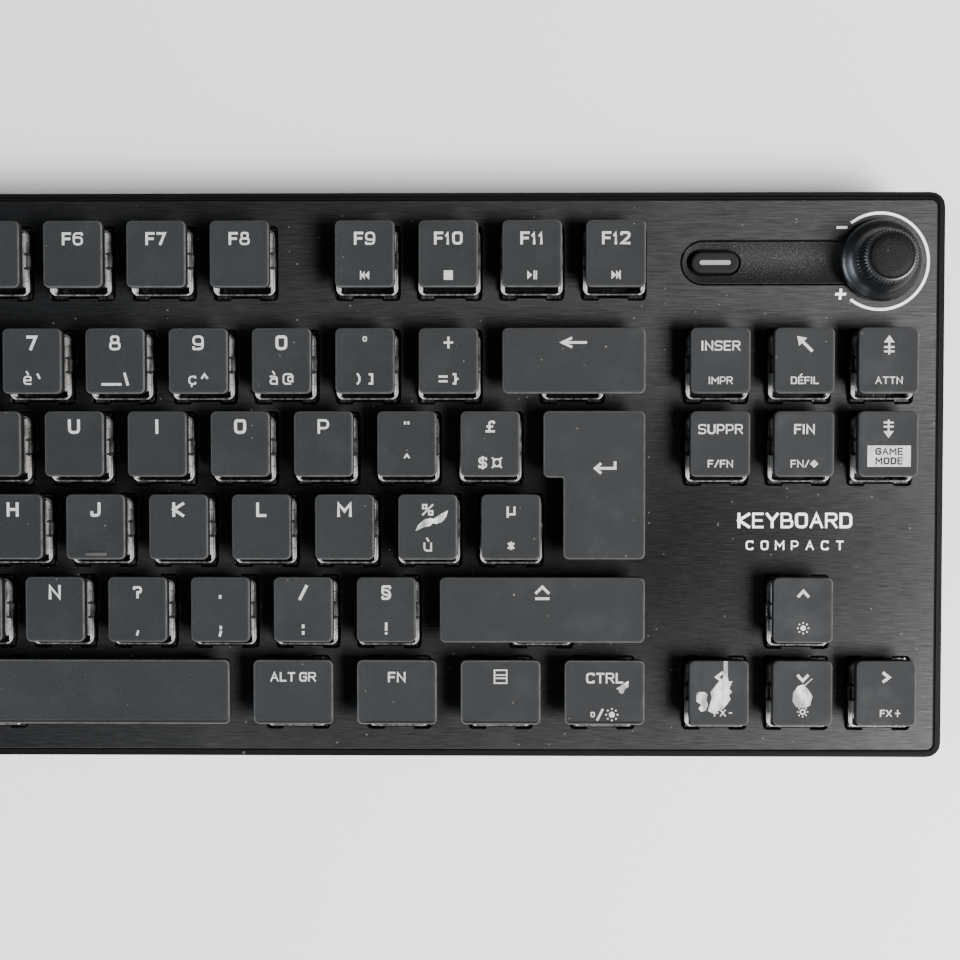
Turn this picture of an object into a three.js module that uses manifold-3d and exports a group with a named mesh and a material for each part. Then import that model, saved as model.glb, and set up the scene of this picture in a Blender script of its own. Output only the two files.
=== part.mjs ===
// Tenkeyless keyboard with low caps on exposed clear switch housings, a mute button and a volume knob.
// Millimetres, +X right, +Y to the rear, +Z up. The deck group holds what is square to the tilted top plate:
// there X runs along the rows, Y is the distance from the front key row and Z the height above the plate.
import * as THREE from "three";
import { ConvexGeometry } from "three/addons/geometries/ConvexGeometry.js";
import { mergeVertices } from "three/addons/utils/BufferGeometryUtils.js";
import Module from "manifold-3d";

const PITCH = 19.05; // spacing of the keys along a row and from row to row
const KEY_BLOCK = 18.25; // width of the key field in pitches
const F_ROW_GAP = 5.05; // extra space in front of the function row
const CASE_HALF_WIDTH = 179.3;
const CASE_FRONT = -15.6; // deck distances of the case's front and rear faces
const CASE_REAR = 116.35;
const CASE_CORNER = 3.3;
const TILT_DEG = 4;
const FRONT_HEIGHT = 14; // plate height above the desk at the case's front face
const PAD_STANDOFF = 1.2; // underside of the tray above the desk
const FLOOR_TOP = 4;
const GAP = 0.3; // clearance between neighbouring pieces

const PLATE = { halfWidth: 177.4, front: -13.9, rear: 114.4, thickness: 1.5, corner: 1.2 };
const RIM_TOP = -0.8;
const BOARD = { halfWidth: 171.5, front: -10, rear: 110.6, top: -6.5, thickness: 1.6 };

const CAP = { margin: 5.5, depth: 15, depthTop: 15.2, rim: 6, top: 9, wall: 1.1, roof: 1, corner: 1.3 };
const CAP_SHIFT = 1; // the caps and stems stand this much behind the housing's middle
const CAP_BEVEL = 0.4;
const TRAVEL = 3.6;
const STEM = { width: 6.4, depth: 4.4, bottom: 0.5 };
const HOUSING = { width: 14.4, depth: 16.4, shoulder: 2.2, bottom: -6.2 };
const TOWER = { width: 10.4, depth: 11.4, top: 4.2 };
const WELL_FLOOR = -4;
const WEB = { from: 4.5, to: 7.5, bottom: -3, top: -2.2, tieLeft: 0.2, tieRight: 15.125 };
const GUIDE = { halfWidth: 3, front: -4.2, rear: 6.3, top: 3.6, bottom: -0.9 };
const GUIDE_STEM = { halfWidth: 1.3, halfDepth: 2.3, bottom: -1.2 };
const WIRE = { radius: 0.6, arm: 8.7, back: 9.3, height: -3.9 };

const KNOB = { x: 164.15, y: 100.2, skirt: 9.5, grip: 6.3, cap: 4.8, height: 12.6, shaft: 2.6 };
const INLAY = { left: 118.3, right: 168.6, halfHeight: 4.85, top: -0.5, bottom: -3.4 };
const BUTTON = { x: 125.9, y: 99.9, width: 11.2, height: 5, top: 0.7, travel: 0.8 };
const SOCKET_X = -54.75;
const FOOT = { x: 127, width: 36, pivotY: 39.5, pivotZ: 3.4, length: 17.5, thickness: 3.4 };

const wasm = await Module();
wasm.setup();

// A closed three.js geometry as a manifold solid.
function solid(geometry) {
  const bare = geometry.clone();
  bare.deleteAttribute("normal");
  bare.deleteAttribute("uv");
  const merged = mergeVertices(bare, 1e-4);
  return new wasm.Manifold(
    new wasm.Mesh({
      numProp: 3,
      vertProperties: merged.attributes.position.array,
      triVerts: new Uint32Array(merged.index.array),
    }),
  );
}

function box(x0, x1, y0, y1, z0, z1) {
  const geometry = new THREE.BoxGeometry(x1 - x0, y1 - y0, z1 - z0);
  return solid(geometry.translate((x0 + x1) / 2, (y0 + y1) / 2, (z0 + z1) / 2));
}

// An upright prism over a closed outline of [x, y] points.
function prism(points, z0, z1) {
  const shape = new THREE.Shape(points.map(([x, y]) => new THREE.Vector2(x, y)));
  const geometry = new THREE.ExtrudeGeometry(shape, { depth: z1 - z0, bevelEnabled: false });
  return solid(geometry.translate(0, 0, z0));
}

// A rectangle whose corners are arcs of the given number of steps.
function roundedRect(x0, x1, y0, y1, radius, steps) {
  const points = [];
  const corners = [
    [x1 - radius, y0 + radius, -90],
    [x1 - radius, y1 - radius, 0],
    [x0 + radius, y1 - radius, 90],
    [x0 + radius, y0 + radius, 180],
  ];
  for (const [cx, cy, start] of corners)
    for (let i = 0; i <= steps; i++) {
      const a = THREE.MathUtils.degToRad(start + (90 * i) / steps);
      points.push([cx + radius * Math.cos(a), cy + radius * Math.sin(a)]);
    }
  return points;
}

function roundedBlock(x0, x1, y0, y1, z0, z1, radius, steps = 4) {
  return prism(roundedRect(x0, x1, y0, y1, radius, steps), z0, z1);
}

function upright(x, y, z0, z1, radius, segments = 24) {
  const geometry = new THREE.CylinderGeometry(radius, radius, z1 - z0, segments);
  return solid(geometry.rotateX(Math.PI / 2).translate(x, y, (z0 + z1) / 2));
}

function along(from, to, radius, segments = 8) {
  const a = new THREE.Vector3(...from);
  const b = new THREE.Vector3(...to);
  const geometry = new THREE.CylinderGeometry(radius, radius, a.distanceTo(b), segments);
  const turn = new THREE.Quaternion().setFromUnitVectors(
    new THREE.Vector3(0, 1, 0),
    b.clone().sub(a).normalize(),
  );
  geometry.applyQuaternion(turn);
  return solid(geometry.translate(...a.add(b).multiplyScalar(0.5).toArray()));
}

function join(pieces) {
  return wasm.Manifold.union(pieces);
}

// Materials, and the meshes placed in the group that holds them.
const MATERIALS = {
  case_plastic: { color: 0x131416, roughness: 0.55, metalness: 0 },
  plate_aluminium: { color: 0x232427, roughness: 0.42, metalness: 0.8 },
  keycap_plastic: { color: 0x424346, roughness: 0.6, metalness: 0 },
  clear_plastic: { color: 0xb9bcc0, roughness: 0.15, metalness: 0 },
  board: { color: 0x0d2a1c, roughness: 0.5, metalness: 0 },
  inlay_plastic: { color: 0x101113, roughness: 0.7, metalness: 0 },
  knob_plastic: { color: 0x1b1c1e, roughness: 0.5, metalness: 0 },
  encoder_metal: { color: 0x8f9296, roughness: 0.35, metalness: 1 },
  socket_metal: { color: 0xa9acb0, roughness: 0.3, metalness: 1 },
  rubber: { color: 0x0c0c0d, roughness: 0.9, metalness: 0 },
  screw_steel: { color: 0x55575b, roughness: 0.35, metalness: 1 },
  wire_steel: { color: 0xb4b6ba, roughness: 0.25, metalness: 1 },
};

const root = new THREE.Group();
const deck = new THREE.Group();
const tilt = THREE.MathUtils.degToRad(TILT_DEG);
const caseMiddle = (CASE_FRONT + CASE_REAR) / 2;
deck.rotation.x = tilt;
deck.position.set(0, -caseMiddle * Math.cos(tilt), FRONT_HEIGHT - CASE_FRONT * Math.sin(tilt));
root.add(deck);

function place(group, name, slot, body) {
  const { numProp, vertProperties, triVerts } = body.getMesh();
  if (numProp !== 3) throw new Error(name + " carries more than positions");
  const geometry = new THREE.BufferGeometry();
  geometry.setAttribute("position", new THREE.BufferAttribute(vertProperties, 3));
  geometry.setIndex(new THREE.BufferAttribute(triVerts, 1));
  geometry.computeVertexNormals();
  const material = new THREE.MeshStandardMaterial({ ...MATERIALS[slot], flatShading: true });
  const mesh = new THREE.Mesh(geometry, material);
  mesh.name = name;
  group.add(mesh);
}

// A deck-frame solid carried into the upright frame of the case.
function fromDeck(body) {
  return body.rotate([TILT_DEG, 0, 0]).translate(deck.position.toArray());
}

// ---- key layout: name, left edge and width in pitches ----
const ROW_Y = [5 * PITCH + F_ROW_GAP, 4 * PITCH, 3 * PITCH, 2 * PITCH, PITCH, 0];

function run(row, from, count) {
  return Array.from({ length: count }, (_, i) => ({ row, u: from + i, w: 1 }));
}

const SINGLE_KEYS = {
  key_escape: { row: 0, u: 0, w: 1 },
  key_square: { row: 1, u: 0, w: 1 },
  key_backspace: { row: 1, u: 13, w: 2, stabiliser: 11.5 },
  key_insert: { row: 1, u: 15.25, w: 1 },
  key_home: { row: 1, u: 16.25, w: 1 },
  key_page_up: { row: 1, u: 17.25, w: 1 },
  key_tab: { row: 2, u: 0, w: 1.5 },
  key_delete: { row: 2, u: 15.25, w: 1 },
  key_end: { row: 2, u: 16.25, w: 1 },
  key_page_down: { row: 2, u: 17.25, w: 1 },
  key_caps_lock: { row: 3, u: 0, w: 1.75 },
  key_shift_left: { row: 4, u: 0, w: 1.25 },
  key_shift_right: { row: 4, u: 12.25, w: 2.75, stabiliser: 11.5 },
  key_up: { row: 4, u: 16.25, w: 1 },
  key_control_left: { row: 5, u: 0, w: 1.25 },
  key_system: { row: 5, u: 1.25, w: 1.25 },
  key_alt_left: { row: 5, u: 2.5, w: 1.25 },
  key_space: { row: 5, u: 3.75, w: 6.25, stabiliser: 50 },
  key_alt_right: { row: 5, u: 10, w: 1.25 },
  key_function: { row: 5, u: 11.25, w: 1.25 },
  key_menu: { row: 5, u: 12.5, w: 1.25 },
  key_control_right: { row: 5, u: 13.75, w: 1.25 },
  key_left: { row: 5, u: 15.25, w: 1 },
  key_down: { row: 5, u: 16.25, w: 1 },
  key_right: { row: 5, u: 17.25, w: 1 },
};

const KEY_BANKS = {
  keys_f1_to_f4: run(0, 2, 4),
  keys_f5_to_f8: run(0, 6.5, 4),
  keys_f9_to_f12: run(0, 11, 4),
  keys_digits_left: run(1, 1, 6),
  keys_digits_right: run(1, 7, 6),
  keys_upper_left: run(2, 1.5, 6),
  keys_upper_right: run(2, 7.5, 6),
  keys_home_left: run(3, 1.75, 6),
  keys_home_right: run(3, 7.75, 6),
  keys_lower_left: run(4, 1.25, 6),
  keys_lower_right: run(4, 7.25, 5),
};
const HOMING = [
  { row: 3, u: 4.75 },
  { row: 3, u: 7.75 },
];
const ENTER = { upper: 13.5, lower: 13.75, right: 15, rowAbove: 2, rowBelow: 3, stabiliser: 11.5 };

function edgeX(u) {
  return (u - KEY_BLOCK / 2) * PITCH;
}

function middleX(key) {
  return edgeX(key.u + key.w / 2);
}

const enterX = edgeX((ENTER.lower + ENTER.right) / 2);
const enterY = (ROW_Y[ENTER.rowAbove] + ROW_Y[ENTER.rowBelow]) / 2;

// ---- keycaps: a bevelled shell open below, with a stem down into the housing ----
function stemAt(x, y) {
  const d = STEM.depth / 2;
  return box(x - STEM.width / 2, x + STEM.width / 2, y - d, y + d, STEM.bottom, CAP.top - CAP.roof / 2);
}

// A block with chamfered corners and a bevelled top edge.
function capBlock(x0, x1, y0, y1) {
  const b = CAP_BEVEL;
  const rings = [
    [roundedRect(x0, x1, y0, y1, CAP.corner, 1), CAP.rim],
    [roundedRect(x0, x1, y0, y1, CAP.corner, 1), CAP.top - b],
    [roundedRect(x0 + b, x1 - b, y0 + b, y1 - b, CAP.corner - b / 2, 1), CAP.top],
  ];
  const points = rings.flatMap(([ring, z]) => ring.map(([x, y]) => new THREE.Vector3(x, y, z)));
  return solid(new ConvexGeometry(points));
}

function guideStem(x, y, turned) {
  const hw = turned ? GUIDE_STEM.halfDepth : GUIDE_STEM.halfWidth;
  const hd = turned ? GUIDE_STEM.halfWidth : GUIDE_STEM.halfDepth;
  return box(x - hw, x + hw, y - hd, y + hd, GUIDE_STEM.bottom, CAP.top - CAP.roof / 2);
}

function keycap(key) {
  const depth = key.row === 0 ? CAP.depthTop : CAP.depth;
  const x0 = edgeX(key.u) + CAP.margin / 2;
  const x1 = edgeX(key.u + key.w) - CAP.margin / 2;
  const y0 = ROW_Y[key.row] + CAP_SHIFT - depth / 2;
  const y1 = y0 + depth;
  const w = CAP.wall;
  const x = middleX(key);
  const y = (y0 + y1) / 2;
  const hollow = box(x0 + w, x1 - w, y0 + w, y1 - w, CAP.rim - 1, CAP.top - CAP.roof);
  const pieces = [capBlock(x0, x1, y0, y1).subtract(hollow), stemAt(x, y)];
  if (key.stabiliser)
    for (const side of [-1, 1]) pieces.push(guideStem(x + side * key.stabiliser, y, false));
  if (HOMING.some((h) => h.row === key.row && h.u === key.u))
    pieces.push(box(x - 2.55, x + 2.55, y0 + 0.9, y0 + 1.7, CAP.top - 0.5, CAP.top + 0.3));
  return join(pieces);
}

// Several caps held together by a light bar under the roofs.
function bank(keys) {
  const pieces = keys.map(keycap);
  for (let i = 1; i < keys.length; i++) {
    const left = edgeX(keys[i].u) - CAP.margin / 2 - CAP.wall;
    const right = edgeX(keys[i].u) + CAP.margin / 2 + CAP.wall;
    const y = ROW_Y[keys[i].row] + CAP_SHIFT;
    pieces.push(box(left, right, y - 0.6, y + 0.6, CAP.rim + 0.2, CAP.rim + 1));
  }
  return join(pieces);
}

// The two-row return key: wider in its upper row.
function enterOutline(offset) {
  const right = edgeX(ENTER.right) - CAP.margin / 2 - offset;
  const upper = edgeX(ENTER.upper) + CAP.margin / 2 + offset;
  const lower = edgeX(ENTER.lower) + CAP.margin / 2 + offset;
  const rear = ROW_Y[ENTER.rowAbove] + CAP_SHIFT + CAP.depth / 2 - offset;
  const step = ROW_Y[ENTER.rowAbove] + CAP_SHIFT - CAP.depth / 2 + offset;
  const front = ROW_Y[ENTER.rowBelow] + CAP_SHIFT - CAP.depth / 2 + offset;
  const c = 0.7;
  return [
    [lower + c, front],
    [right - c, front],
    [right, front + c],
    [right, rear - c],
    [right - c, rear],
    [upper + c, rear],
    [upper, rear - c],
    [upper, step + c],
    [upper + c, step],
    [lower - 0.3, step],
    [lower, step - 0.3],
    [lower, front + c],
  ];
}

function enterCap() {
  const y = enterY + CAP_SHIFT;
  const body = join([
    prism(enterOutline(0), CAP.rim, CAP.top - CAP_BEVEL),
    prism(enterOutline(CAP_BEVEL), CAP.top - 2 * CAP_BEVEL, CAP.top),
  ]).subtract(prism(enterOutline(CAP.wall), CAP.rim - 1, CAP.top - CAP.roof));
  const pieces = [body, stemAt(enterX, y)];
  for (const side of [-1, 1]) pieces.push(guideStem(enterX, y + side * ENTER.stabiliser, true));
  return join(pieces);
}

// ---- switch housings: clear bodies through the plate, linked by a web below it ----
function housing(x, y) {
  const h = HOUSING;
  const tower = y + CAP_SHIFT;
  const halfStem = [STEM.width / 2 + GAP, STEM.depth / 2 + GAP];
  const body = join([
    box(x - h.width / 2, x + h.width / 2, y - h.depth / 2, y + h.depth / 2, h.bottom, h.shoulder),
    box(
      x - TOWER.width / 2,
      x + TOWER.width / 2,
      tower - TOWER.depth / 2,
      tower + TOWER.depth / 2,
      0,
      TOWER.top,
    ),
  ]);
  const well = box(
    x - halfStem[0],
    x + halfStem[0],
    tower - halfStem[1],
    tower + halfStem[1],
    WELL_FLOOR,
    TOWER.top + 1,
  );
  return body.subtract(well);
}

// A stabiliser guide; a turned one stands for a wire that runs from front to rear.
function guide(x, y, turned) {
  const g = GUIDE;
  const hw = GUIDE_STEM.halfWidth + GAP;
  const hd = GUIDE_STEM.halfDepth + GAP;
  const body = join([
    box(-g.halfWidth, g.halfWidth, g.front, g.rear, g.bottom, g.top),
    box(-g.halfWidth, g.halfWidth, CAP_SHIFT + hd, g.rear, WEB.bottom, g.top),
  ]).subtract(box(-hw, hw, CAP_SHIFT - hd, CAP_SHIFT + hd, -10, 10));
  return turned
    ? body.translate([0, -CAP_SHIFT, 0]).rotate([0, 0, 90]).translate([x, y + CAP_SHIFT, 0])
    : body.translate([x, y, 0]);
}

const allKeys = [...Object.values(SINGLE_KEYS), ...Object.values(KEY_BANKS).flat()];

function guidePlaces() {
  const places = [];
  for (const key of allKeys.filter((k) => k.stabiliser))
    for (const side of [-1, 1])
      places.push([middleX(key) + side * key.stabiliser, ROW_Y[key.row], false]);
  for (const side of [-1, 1]) places.push([enterX, enterY + side * ENTER.stabiliser, true]);
  return places;
}

function switchHousings() {
  const places = [...allKeys.map((k) => [middleX(k), ROW_Y[k.row]]), [enterX, enterY]];
  const pieces = places.map(([x, y]) => housing(x, y));
  for (const [x, y, turned] of guidePlaces()) pieces.push(guide(x, y, turned));
  ROW_Y.forEach((y, row) => {
    const xs = allKeys.filter((k) => k.row === row).map(middleX);
    const left = edgeX(WEB.tieLeft);
    const right = Math.max(...xs, row === ENTER.rowBelow ? enterX : -Infinity);
    pieces.push(box(left, right, y + WEB.from, y + WEB.to, WEB.bottom, WEB.top));
  });
  for (const x of [edgeX(WEB.tieLeft), edgeX(WEB.tieRight)])
    pieces.push(box(x - 1.5, x + 1.5, WEB.from, ROW_Y[0] + WEB.to, WEB.bottom, WEB.top));
  return join(pieces);
}

// ---- stabiliser wires: a bar with two arms that reach under the guide stems ----
function wire(x, y, reach, turned) {
  const half = THREE.MathUtils.radToDeg(TRAVEL / WIRE.arm) / 2;
  const rise = WIRE.arm * Math.sin(THREE.MathUtils.degToRad(half));
  const far = -WIRE.back + WIRE.arm * Math.cos(THREE.MathUtils.degToRad(half));
  const pieces = [along([-reach, -WIRE.back, 0], [reach, -WIRE.back, 0], WIRE.radius)];
  for (const end of [-reach, reach]) {
    pieces.push(along([end, -WIRE.back, 0], [end, far, rise], WIRE.radius));
    pieces.push(solid(new THREE.SphereGeometry(WIRE.radius * 1.02, 8, 4)).translate([end, -WIRE.back, 0]));
  }
  const body = join(pieces).translate([0, 0, WIRE.height]);
  return turned ? body.rotate([0, 0, 90]).translate([x, y, 0]) : body.translate([x, y, 0]);
}

// ---- fixed pieces ----
function stadium(x0, x1, y, halfHeight, z0, z1) {
  return prism(roundedRect(x0, x1, y - halfHeight, y + halfHeight, halfHeight - 1e-3, 5), z0, z1);
}

function topPlate() {
  const p = PLATE;
  const holes = [];
  const h = { x: HOUSING.width / 2 + GAP, y: HOUSING.depth / 2 + GAP };
  const places = [...allKeys.map((k) => [middleX(k), ROW_Y[k.row]]), [enterX, enterY]];
  for (const [x, y] of places) holes.push(box(x - h.x, x + h.x, y - h.y, y + h.y, -5, 5));
  for (const [x, y, turned] of guidePlaces()) {
    const cut = box(
      -GUIDE.halfWidth - GAP,
      GUIDE.halfWidth + GAP,
      GUIDE.front - GAP,
      GUIDE.rear + GAP,
      -5,
      5,
    );
    holes.push(
      turned
        ? cut.translate([0, -CAP_SHIFT, 0]).rotate([0, 0, 90]).translate([x, y + CAP_SHIFT, 0])
        : cut.translate([x, y, 0]),
    );
  }
  holes.push(
    stadium(INLAY.left - GAP, INLAY.right + GAP, BUTTON.y, INLAY.halfHeight + GAP, -5, 5),
  );
  return roundedBlock(-p.halfWidth, p.halfWidth, p.front, p.rear, -p.thickness, 0, p.corner, 2).subtract(
    join(holes),
  );
}

const SCREWS = [
  [-174.2, -9],
  [174.2, -9],
  [-174.2, 110.5],
  [174.2, 110.5],
].map(([x, y]) => [x, (y - caseMiddle) * Math.cos(tilt)]);
const SCREW = { headRadius: 2.6, shankRadius: 1.2, headBottom: 1.7, headTop: 3.2, length: 8.8 };
const PADS = [
  [-140, -54],
  [140, -54],
  [-60, 56],
  [60, 56],
];
const PAD = { halfLength: 20, halfWidth: 4, top: 1.6, recess: 0.7 };

function footPocket(side) {
  const f = FOOT;
  const x = side * f.x;
  const w = f.width / 2;
  const front = f.pivotY - 3.2;
  const rear = f.pivotY + f.length + 2.2;
  const roof = f.pivotZ + 2.8;
  return {
    block: box(x - w - 4, x + w + 4, front - 2, rear + 2, PAD_STANDOFF, roof + 1.6),
    cut: join([
      box(x - w - 0.5, x + w + 0.5, front, rear, PAD_STANDOFF - 1, roof),
      along([x - w - 2.6, f.pivotY, f.pivotZ], [x + w + 2.6, f.pivotY, f.pivotZ], 1.35, 24),
    ]),
  };
}

function baseTray() {
  const half = ((CASE_REAR - CASE_FRONT) / 2) * Math.cos(tilt);
  const w = CASE_HALF_WIDTH;
  const outer = join([
    roundedBlock(-w, w, -half, half, PAD_STANDOFF + 1, 60, CASE_CORNER, 4),
    roundedBlock(-w + 1, w - 1, -half + 1, half - 1, PAD_STANDOFF, 60, CASE_CORNER - 1, 4),
  ]);
  const below = fromDeck(box(-300, 300, -200, 300, -100, RIM_TOP));
  const seat = fromDeck(
    roundedBlock(
      -PLATE.halfWidth - GAP,
      PLATE.halfWidth + GAP,
      PLATE.front - GAP,
      PLATE.rear + GAP,
      -PLATE.thickness - GAP,
      20,
      PLATE.corner + GAP,
      2,
    ),
  );
  const hollow = fromDeck(roundedBlock(-175.1, 175.1, -11.5, 112.1, -60, 20, 2, 2)).intersect(
    box(-300, 300, -100, 100, FLOOR_TOP, 60),
  );
  const boardUnderside = BOARD.top - BOARD.thickness - GAP;
  const underBoard = fromDeck(box(-300, 300, -200, 300, -100, boardUnderside));
  const underPlate = fromDeck(box(-300, 300, -200, 300, -100, -PLATE.thickness - GAP));
  const posts = [];
  for (const x of [-150, -50, 50, 150])
    for (const y of [-46, 22]) posts.push(upright(x, y, 3, 60, 2.2, 8).intersect(underBoard));
  for (const [x, y] of SCREWS) {
    const ax = x + 0.35 * Math.sign(x);
    const ay = y + 0.5 * Math.sign(y);
    posts.push(box(ax - 2.65, ax + 2.65, ay - 3.9, ay + 3.9, 3, 60).intersect(underPlate));
  }
  const pockets = [footPocket(-1), footPocket(1)];
  const cuts = [];
  for (const [x, y] of SCREWS) {
    cuts.push(upright(x, y, 0, SCREW.headTop + GAP, SCREW.headRadius + GAP));
    cuts.push(upright(x, y, 0, SCREW.headBottom + SCREW.length + 1, SCREW.shankRadius + GAP, 16));
  }
  for (const [x, y] of PADS)
    cuts.push(
      roundedBlock(
        x - PAD.halfLength - GAP,
        x + PAD.halfLength + GAP,
        y - PAD.halfWidth - GAP,
        y + PAD.halfWidth + GAP,
        0,
        PAD_STANDOFF + PAD.recess,
        PAD.halfWidth,
        3,
      ),
    );
  cuts.push(fromDeck(box(SOCKET_X - 4.8, SOCKET_X + 4.8, 105, 125, -6.5, -2.7)));
  return outer
    .intersect(below)
    .subtract(seat)
    .subtract(hollow)
    .add(join([...posts, ...pockets.map((p) => p.block)]))
    .subtract(join([...cuts, ...pockets.map((p) => p.cut)]));
}

function circuitBoard() {
  const b = BOARD;
  const parts = [
    roundedBlock(-b.halfWidth, b.halfWidth, b.front, b.rear, b.top - b.thickness, b.top, 2, 2),
    box(20, 26, 85.3, 91.3, b.top - 0.1, b.top + 0.9),
    box(40, 45, 86, 90.4, b.top - 0.1, b.top + 0.9),
    box(-68, -65, 108.6, 110.4, b.top - 0.1, b.top + 0.8),
  ];
  return join(parts);
}

function controlInlay() {
  const i = INLAY;
  const b = BUTTON;
  const body = join([
    stadium(i.left, i.right, b.y, i.halfHeight, i.bottom, i.top),
    stadium(i.left - 1.4, i.right + 1.4, b.y, i.halfHeight + 1.4, i.bottom, -PLATE.thickness - GAP),
  ]);
  const slot = stadium(b.x - b.width / 2 - 0.55, b.x + b.width / 2 + 0.55, b.y, b.height / 2 + 0.4, -9, 9);
  return body.subtract(slot).subtract(upright(KNOB.x, KNOB.y, -9, 9, 3.8, 32));
}

function muteButton() {
  const b = BUTTON;
  const x0 = b.x - b.width / 2;
  const x1 = b.x + b.width / 2;
  return join([
    stadium(x0, x1, b.y, b.height / 2, INLAY.bottom - 1, b.top - 0.25),
    stadium(x0 + 0.25, x1 - 0.25, b.y, b.height / 2 - 0.25, b.top - 0.6, b.top),
    stadium(x0 - 1.2, x1 + 1.2, b.y, b.height / 2 + 1.2, INLAY.bottom - 1.2, INLAY.bottom - 0.4),
    box(b.x - 1.5, b.x + 1.5, b.y - 1, b.y + 1, INLAY.bottom - 1.4, INLAY.bottom - 0.4),
  ]);
}

function encoderBody() {
  const k = KNOB;
  const body = join([
    box(k.x - 5.6, k.x + 5.6, k.y - 5.8, k.y + 5.8, BOARD.top + GAP, INLAY.bottom - GAP),
    upright(k.x, k.y, -4, 3, 3.5, 32),
  ]);
  return body.subtract(upright(k.x, k.y, -5.6, 9, KNOB.shaft + 0.15, 32));
}

function volumeKnob() {
  const k = KNOB;
  const profile = [
    [0, -5.2],
    [k.shaft, -5.2],
    [k.shaft, 3.4],
    [4, 3.4],
    [4, 0.9],
    [k.skirt - 0.3, 0.9],
    [k.skirt, 1.2],
    [k.skirt, 1.9],
    [k.skirt - 0.6, 2.5],
    [7, 3.1],
    [6, 4.4],
    [6, 11.4],
    [5.3, 12],
    [k.cap + 0.1, 12.1],
    [k.cap, k.height - 0.2],
    [0, k.height],
  ];
  const turned = new THREE.LatheGeometry(profile.map(([r, z]) => new THREE.Vector2(r, z)), 32);
  const body = solid(turned.rotateX(Math.PI / 2)).translate([k.x, k.y, 0]);
  const teeth = 20;
  const ring = [];
  for (let i = 0; i < teeth * 4; i++) {
    const a = (2 * Math.PI * i) / (teeth * 4);
    const r = i % 4 < 2 ? k.grip + 0.15 : k.grip - 0.15;
    ring.push([k.x + r * Math.cos(a), k.y + r * Math.sin(a)]);
  }
  const core = upright(k.x, k.y, 3.3, 11, 5, 8);
  return join([body, prism(ring, 4.6, 11.1), core]);
}

function usbSocket() {
  const x = SOCKET_X;
  const bottom = BOARD.top + GAP;
  const shellBody = roundedBlock(-4.5, 4.5, bottom, bottom + 3.2, 0, 7.6, 1.2, 3);
  const cavity = roundedBlock(-4.15, 4.15, bottom + 0.35, bottom + 2.85, -1, 6.4, 1, 3);
  const tongue = box(-3.3, 3.3, bottom + 1.25, bottom + 1.95, 0.8, 7);
  const body = shellBody.subtract(cavity).add(tongue);
  return body.rotate([90, 0, 0]).translate([x, CASE_REAR - 1, 0]);
}

function pad(x, y) {
  const p = PAD;
  return join([
    roundedBlock(
      x - p.halfLength,
      x + p.halfLength,
      y - p.halfWidth,
      y + p.halfWidth,
      0.3,
      p.top,
      p.halfWidth - 0.01,
      3,
    ),
    roundedBlock(
      x - p.halfLength + 0.4,
      x + p.halfLength - 0.4,
      y - p.halfWidth + 0.4,
      y + p.halfWidth - 0.4,
      0,
      1,
      p.halfWidth - 0.42,
      3,
    ),
  ]);
}

function caseScrew(x, y) {
  const s = SCREW;
  const slot = join([
    box(x - 1.5, x + 1.5, y - 0.3, y + 0.3, 0, s.headBottom + 0.8),
    box(x - 0.3, x + 0.3, y - 1.5, y + 1.5, 0, s.headBottom + 0.8),
  ]);
  return join([
    upright(x, y, s.headBottom, s.headTop, s.headRadius, 20),
    upright(x, y, s.headTop - 0.2, s.headBottom + s.length, s.shankRadius, 12),
  ]).subtract(slot);
}

// A flip-out foot, folded flat at rest, with its pivot stubs at the front end.
function foot(side) {
  const f = FOOT;
  const x = side * f.x;
  const w = f.width / 2;
  const half = f.thickness / 2;
  const z = f.pivotZ;
  const leg = join([
    along([x - w, f.pivotY, z], [x + w, f.pivotY, z], half, 24),
    box(x - w, x + w, f.pivotY, f.pivotY + f.length, z - half, z + half),
  ]);
  const waist = box(x - w + 6, x + w - 6, f.pivotY + 3.2, f.pivotY + f.length - 5, z - 4, z - half + 1.2);
  const stubs = along([x - w - 2, f.pivotY, z], [x + w + 2, f.pivotY, z], 1.2, 24);
  return join([leg.subtract(waist), stubs]);
}

// ---- assembly ----
place(root, "base_tray", "case_plastic", baseTray());
PADS.forEach(([x, y], i) => place(root, "pad_" + (i + 1), "rubber", pad(x, y)));
SCREWS.forEach(([x, y], i) => place(root, "case_screw_" + (i + 1), "screw_steel", caseScrew(x, y)));
place(root, "foot_left", "case_plastic", foot(-1));
place(root, "foot_right", "case_plastic", foot(1));
place(deck, "top_plate", "plate_aluminium", topPlate());
place(deck, "circuit_board", "board", circuitBoard());
place(deck, "switch_housings", "clear_plastic", switchHousings());
place(deck, "control_inlay", "inlay_plastic", controlInlay());
place(deck, "mute_button", "knob_plastic", muteButton());
place(deck, "encoder_body", "encoder_metal", encoderBody());
place(deck, "volume_knob", "knob_plastic", volumeKnob());
place(deck, "usb_socket", "socket_metal", usbSocket());
for (const [name, key] of Object.entries(SINGLE_KEYS))
  place(deck, name, "keycap_plastic", keycap(key));
place(deck, "key_enter", "keycap_plastic", enterCap());
for (const [name, keys] of Object.entries(KEY_BANKS))
  place(deck, name, "keycap_plastic", bank(keys));
for (const name of ["key_backspace", "key_shift_right", "key_space"]) {
  const key = SINGLE_KEYS[name];
  const title = name.replace("key_", "wire_");
  place(deck, title, "wire_steel", wire(middleX(key), ROW_Y[key.row], key.stabiliser, false));
}
place(deck, "wire_enter", "wire_steel", wire(enterX, enterY + CAP_SHIFT, ENTER.stabiliser, true));

export default root;
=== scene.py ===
"""A tenkeyless keyboard: charcoal caps on clear switch housings over a brushed black plate.

Deck coordinates are millimetres square to the tilted plate: x along the rows, y from the front key
row to the rear, z above the plate's top face.  deck() turns them into metres in the model's frame.
"""
import math

import bpy
import numpy as np
from mathutils import Matrix, Vector
from mathutils.geometry import delaunay_2d_cdt


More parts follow.
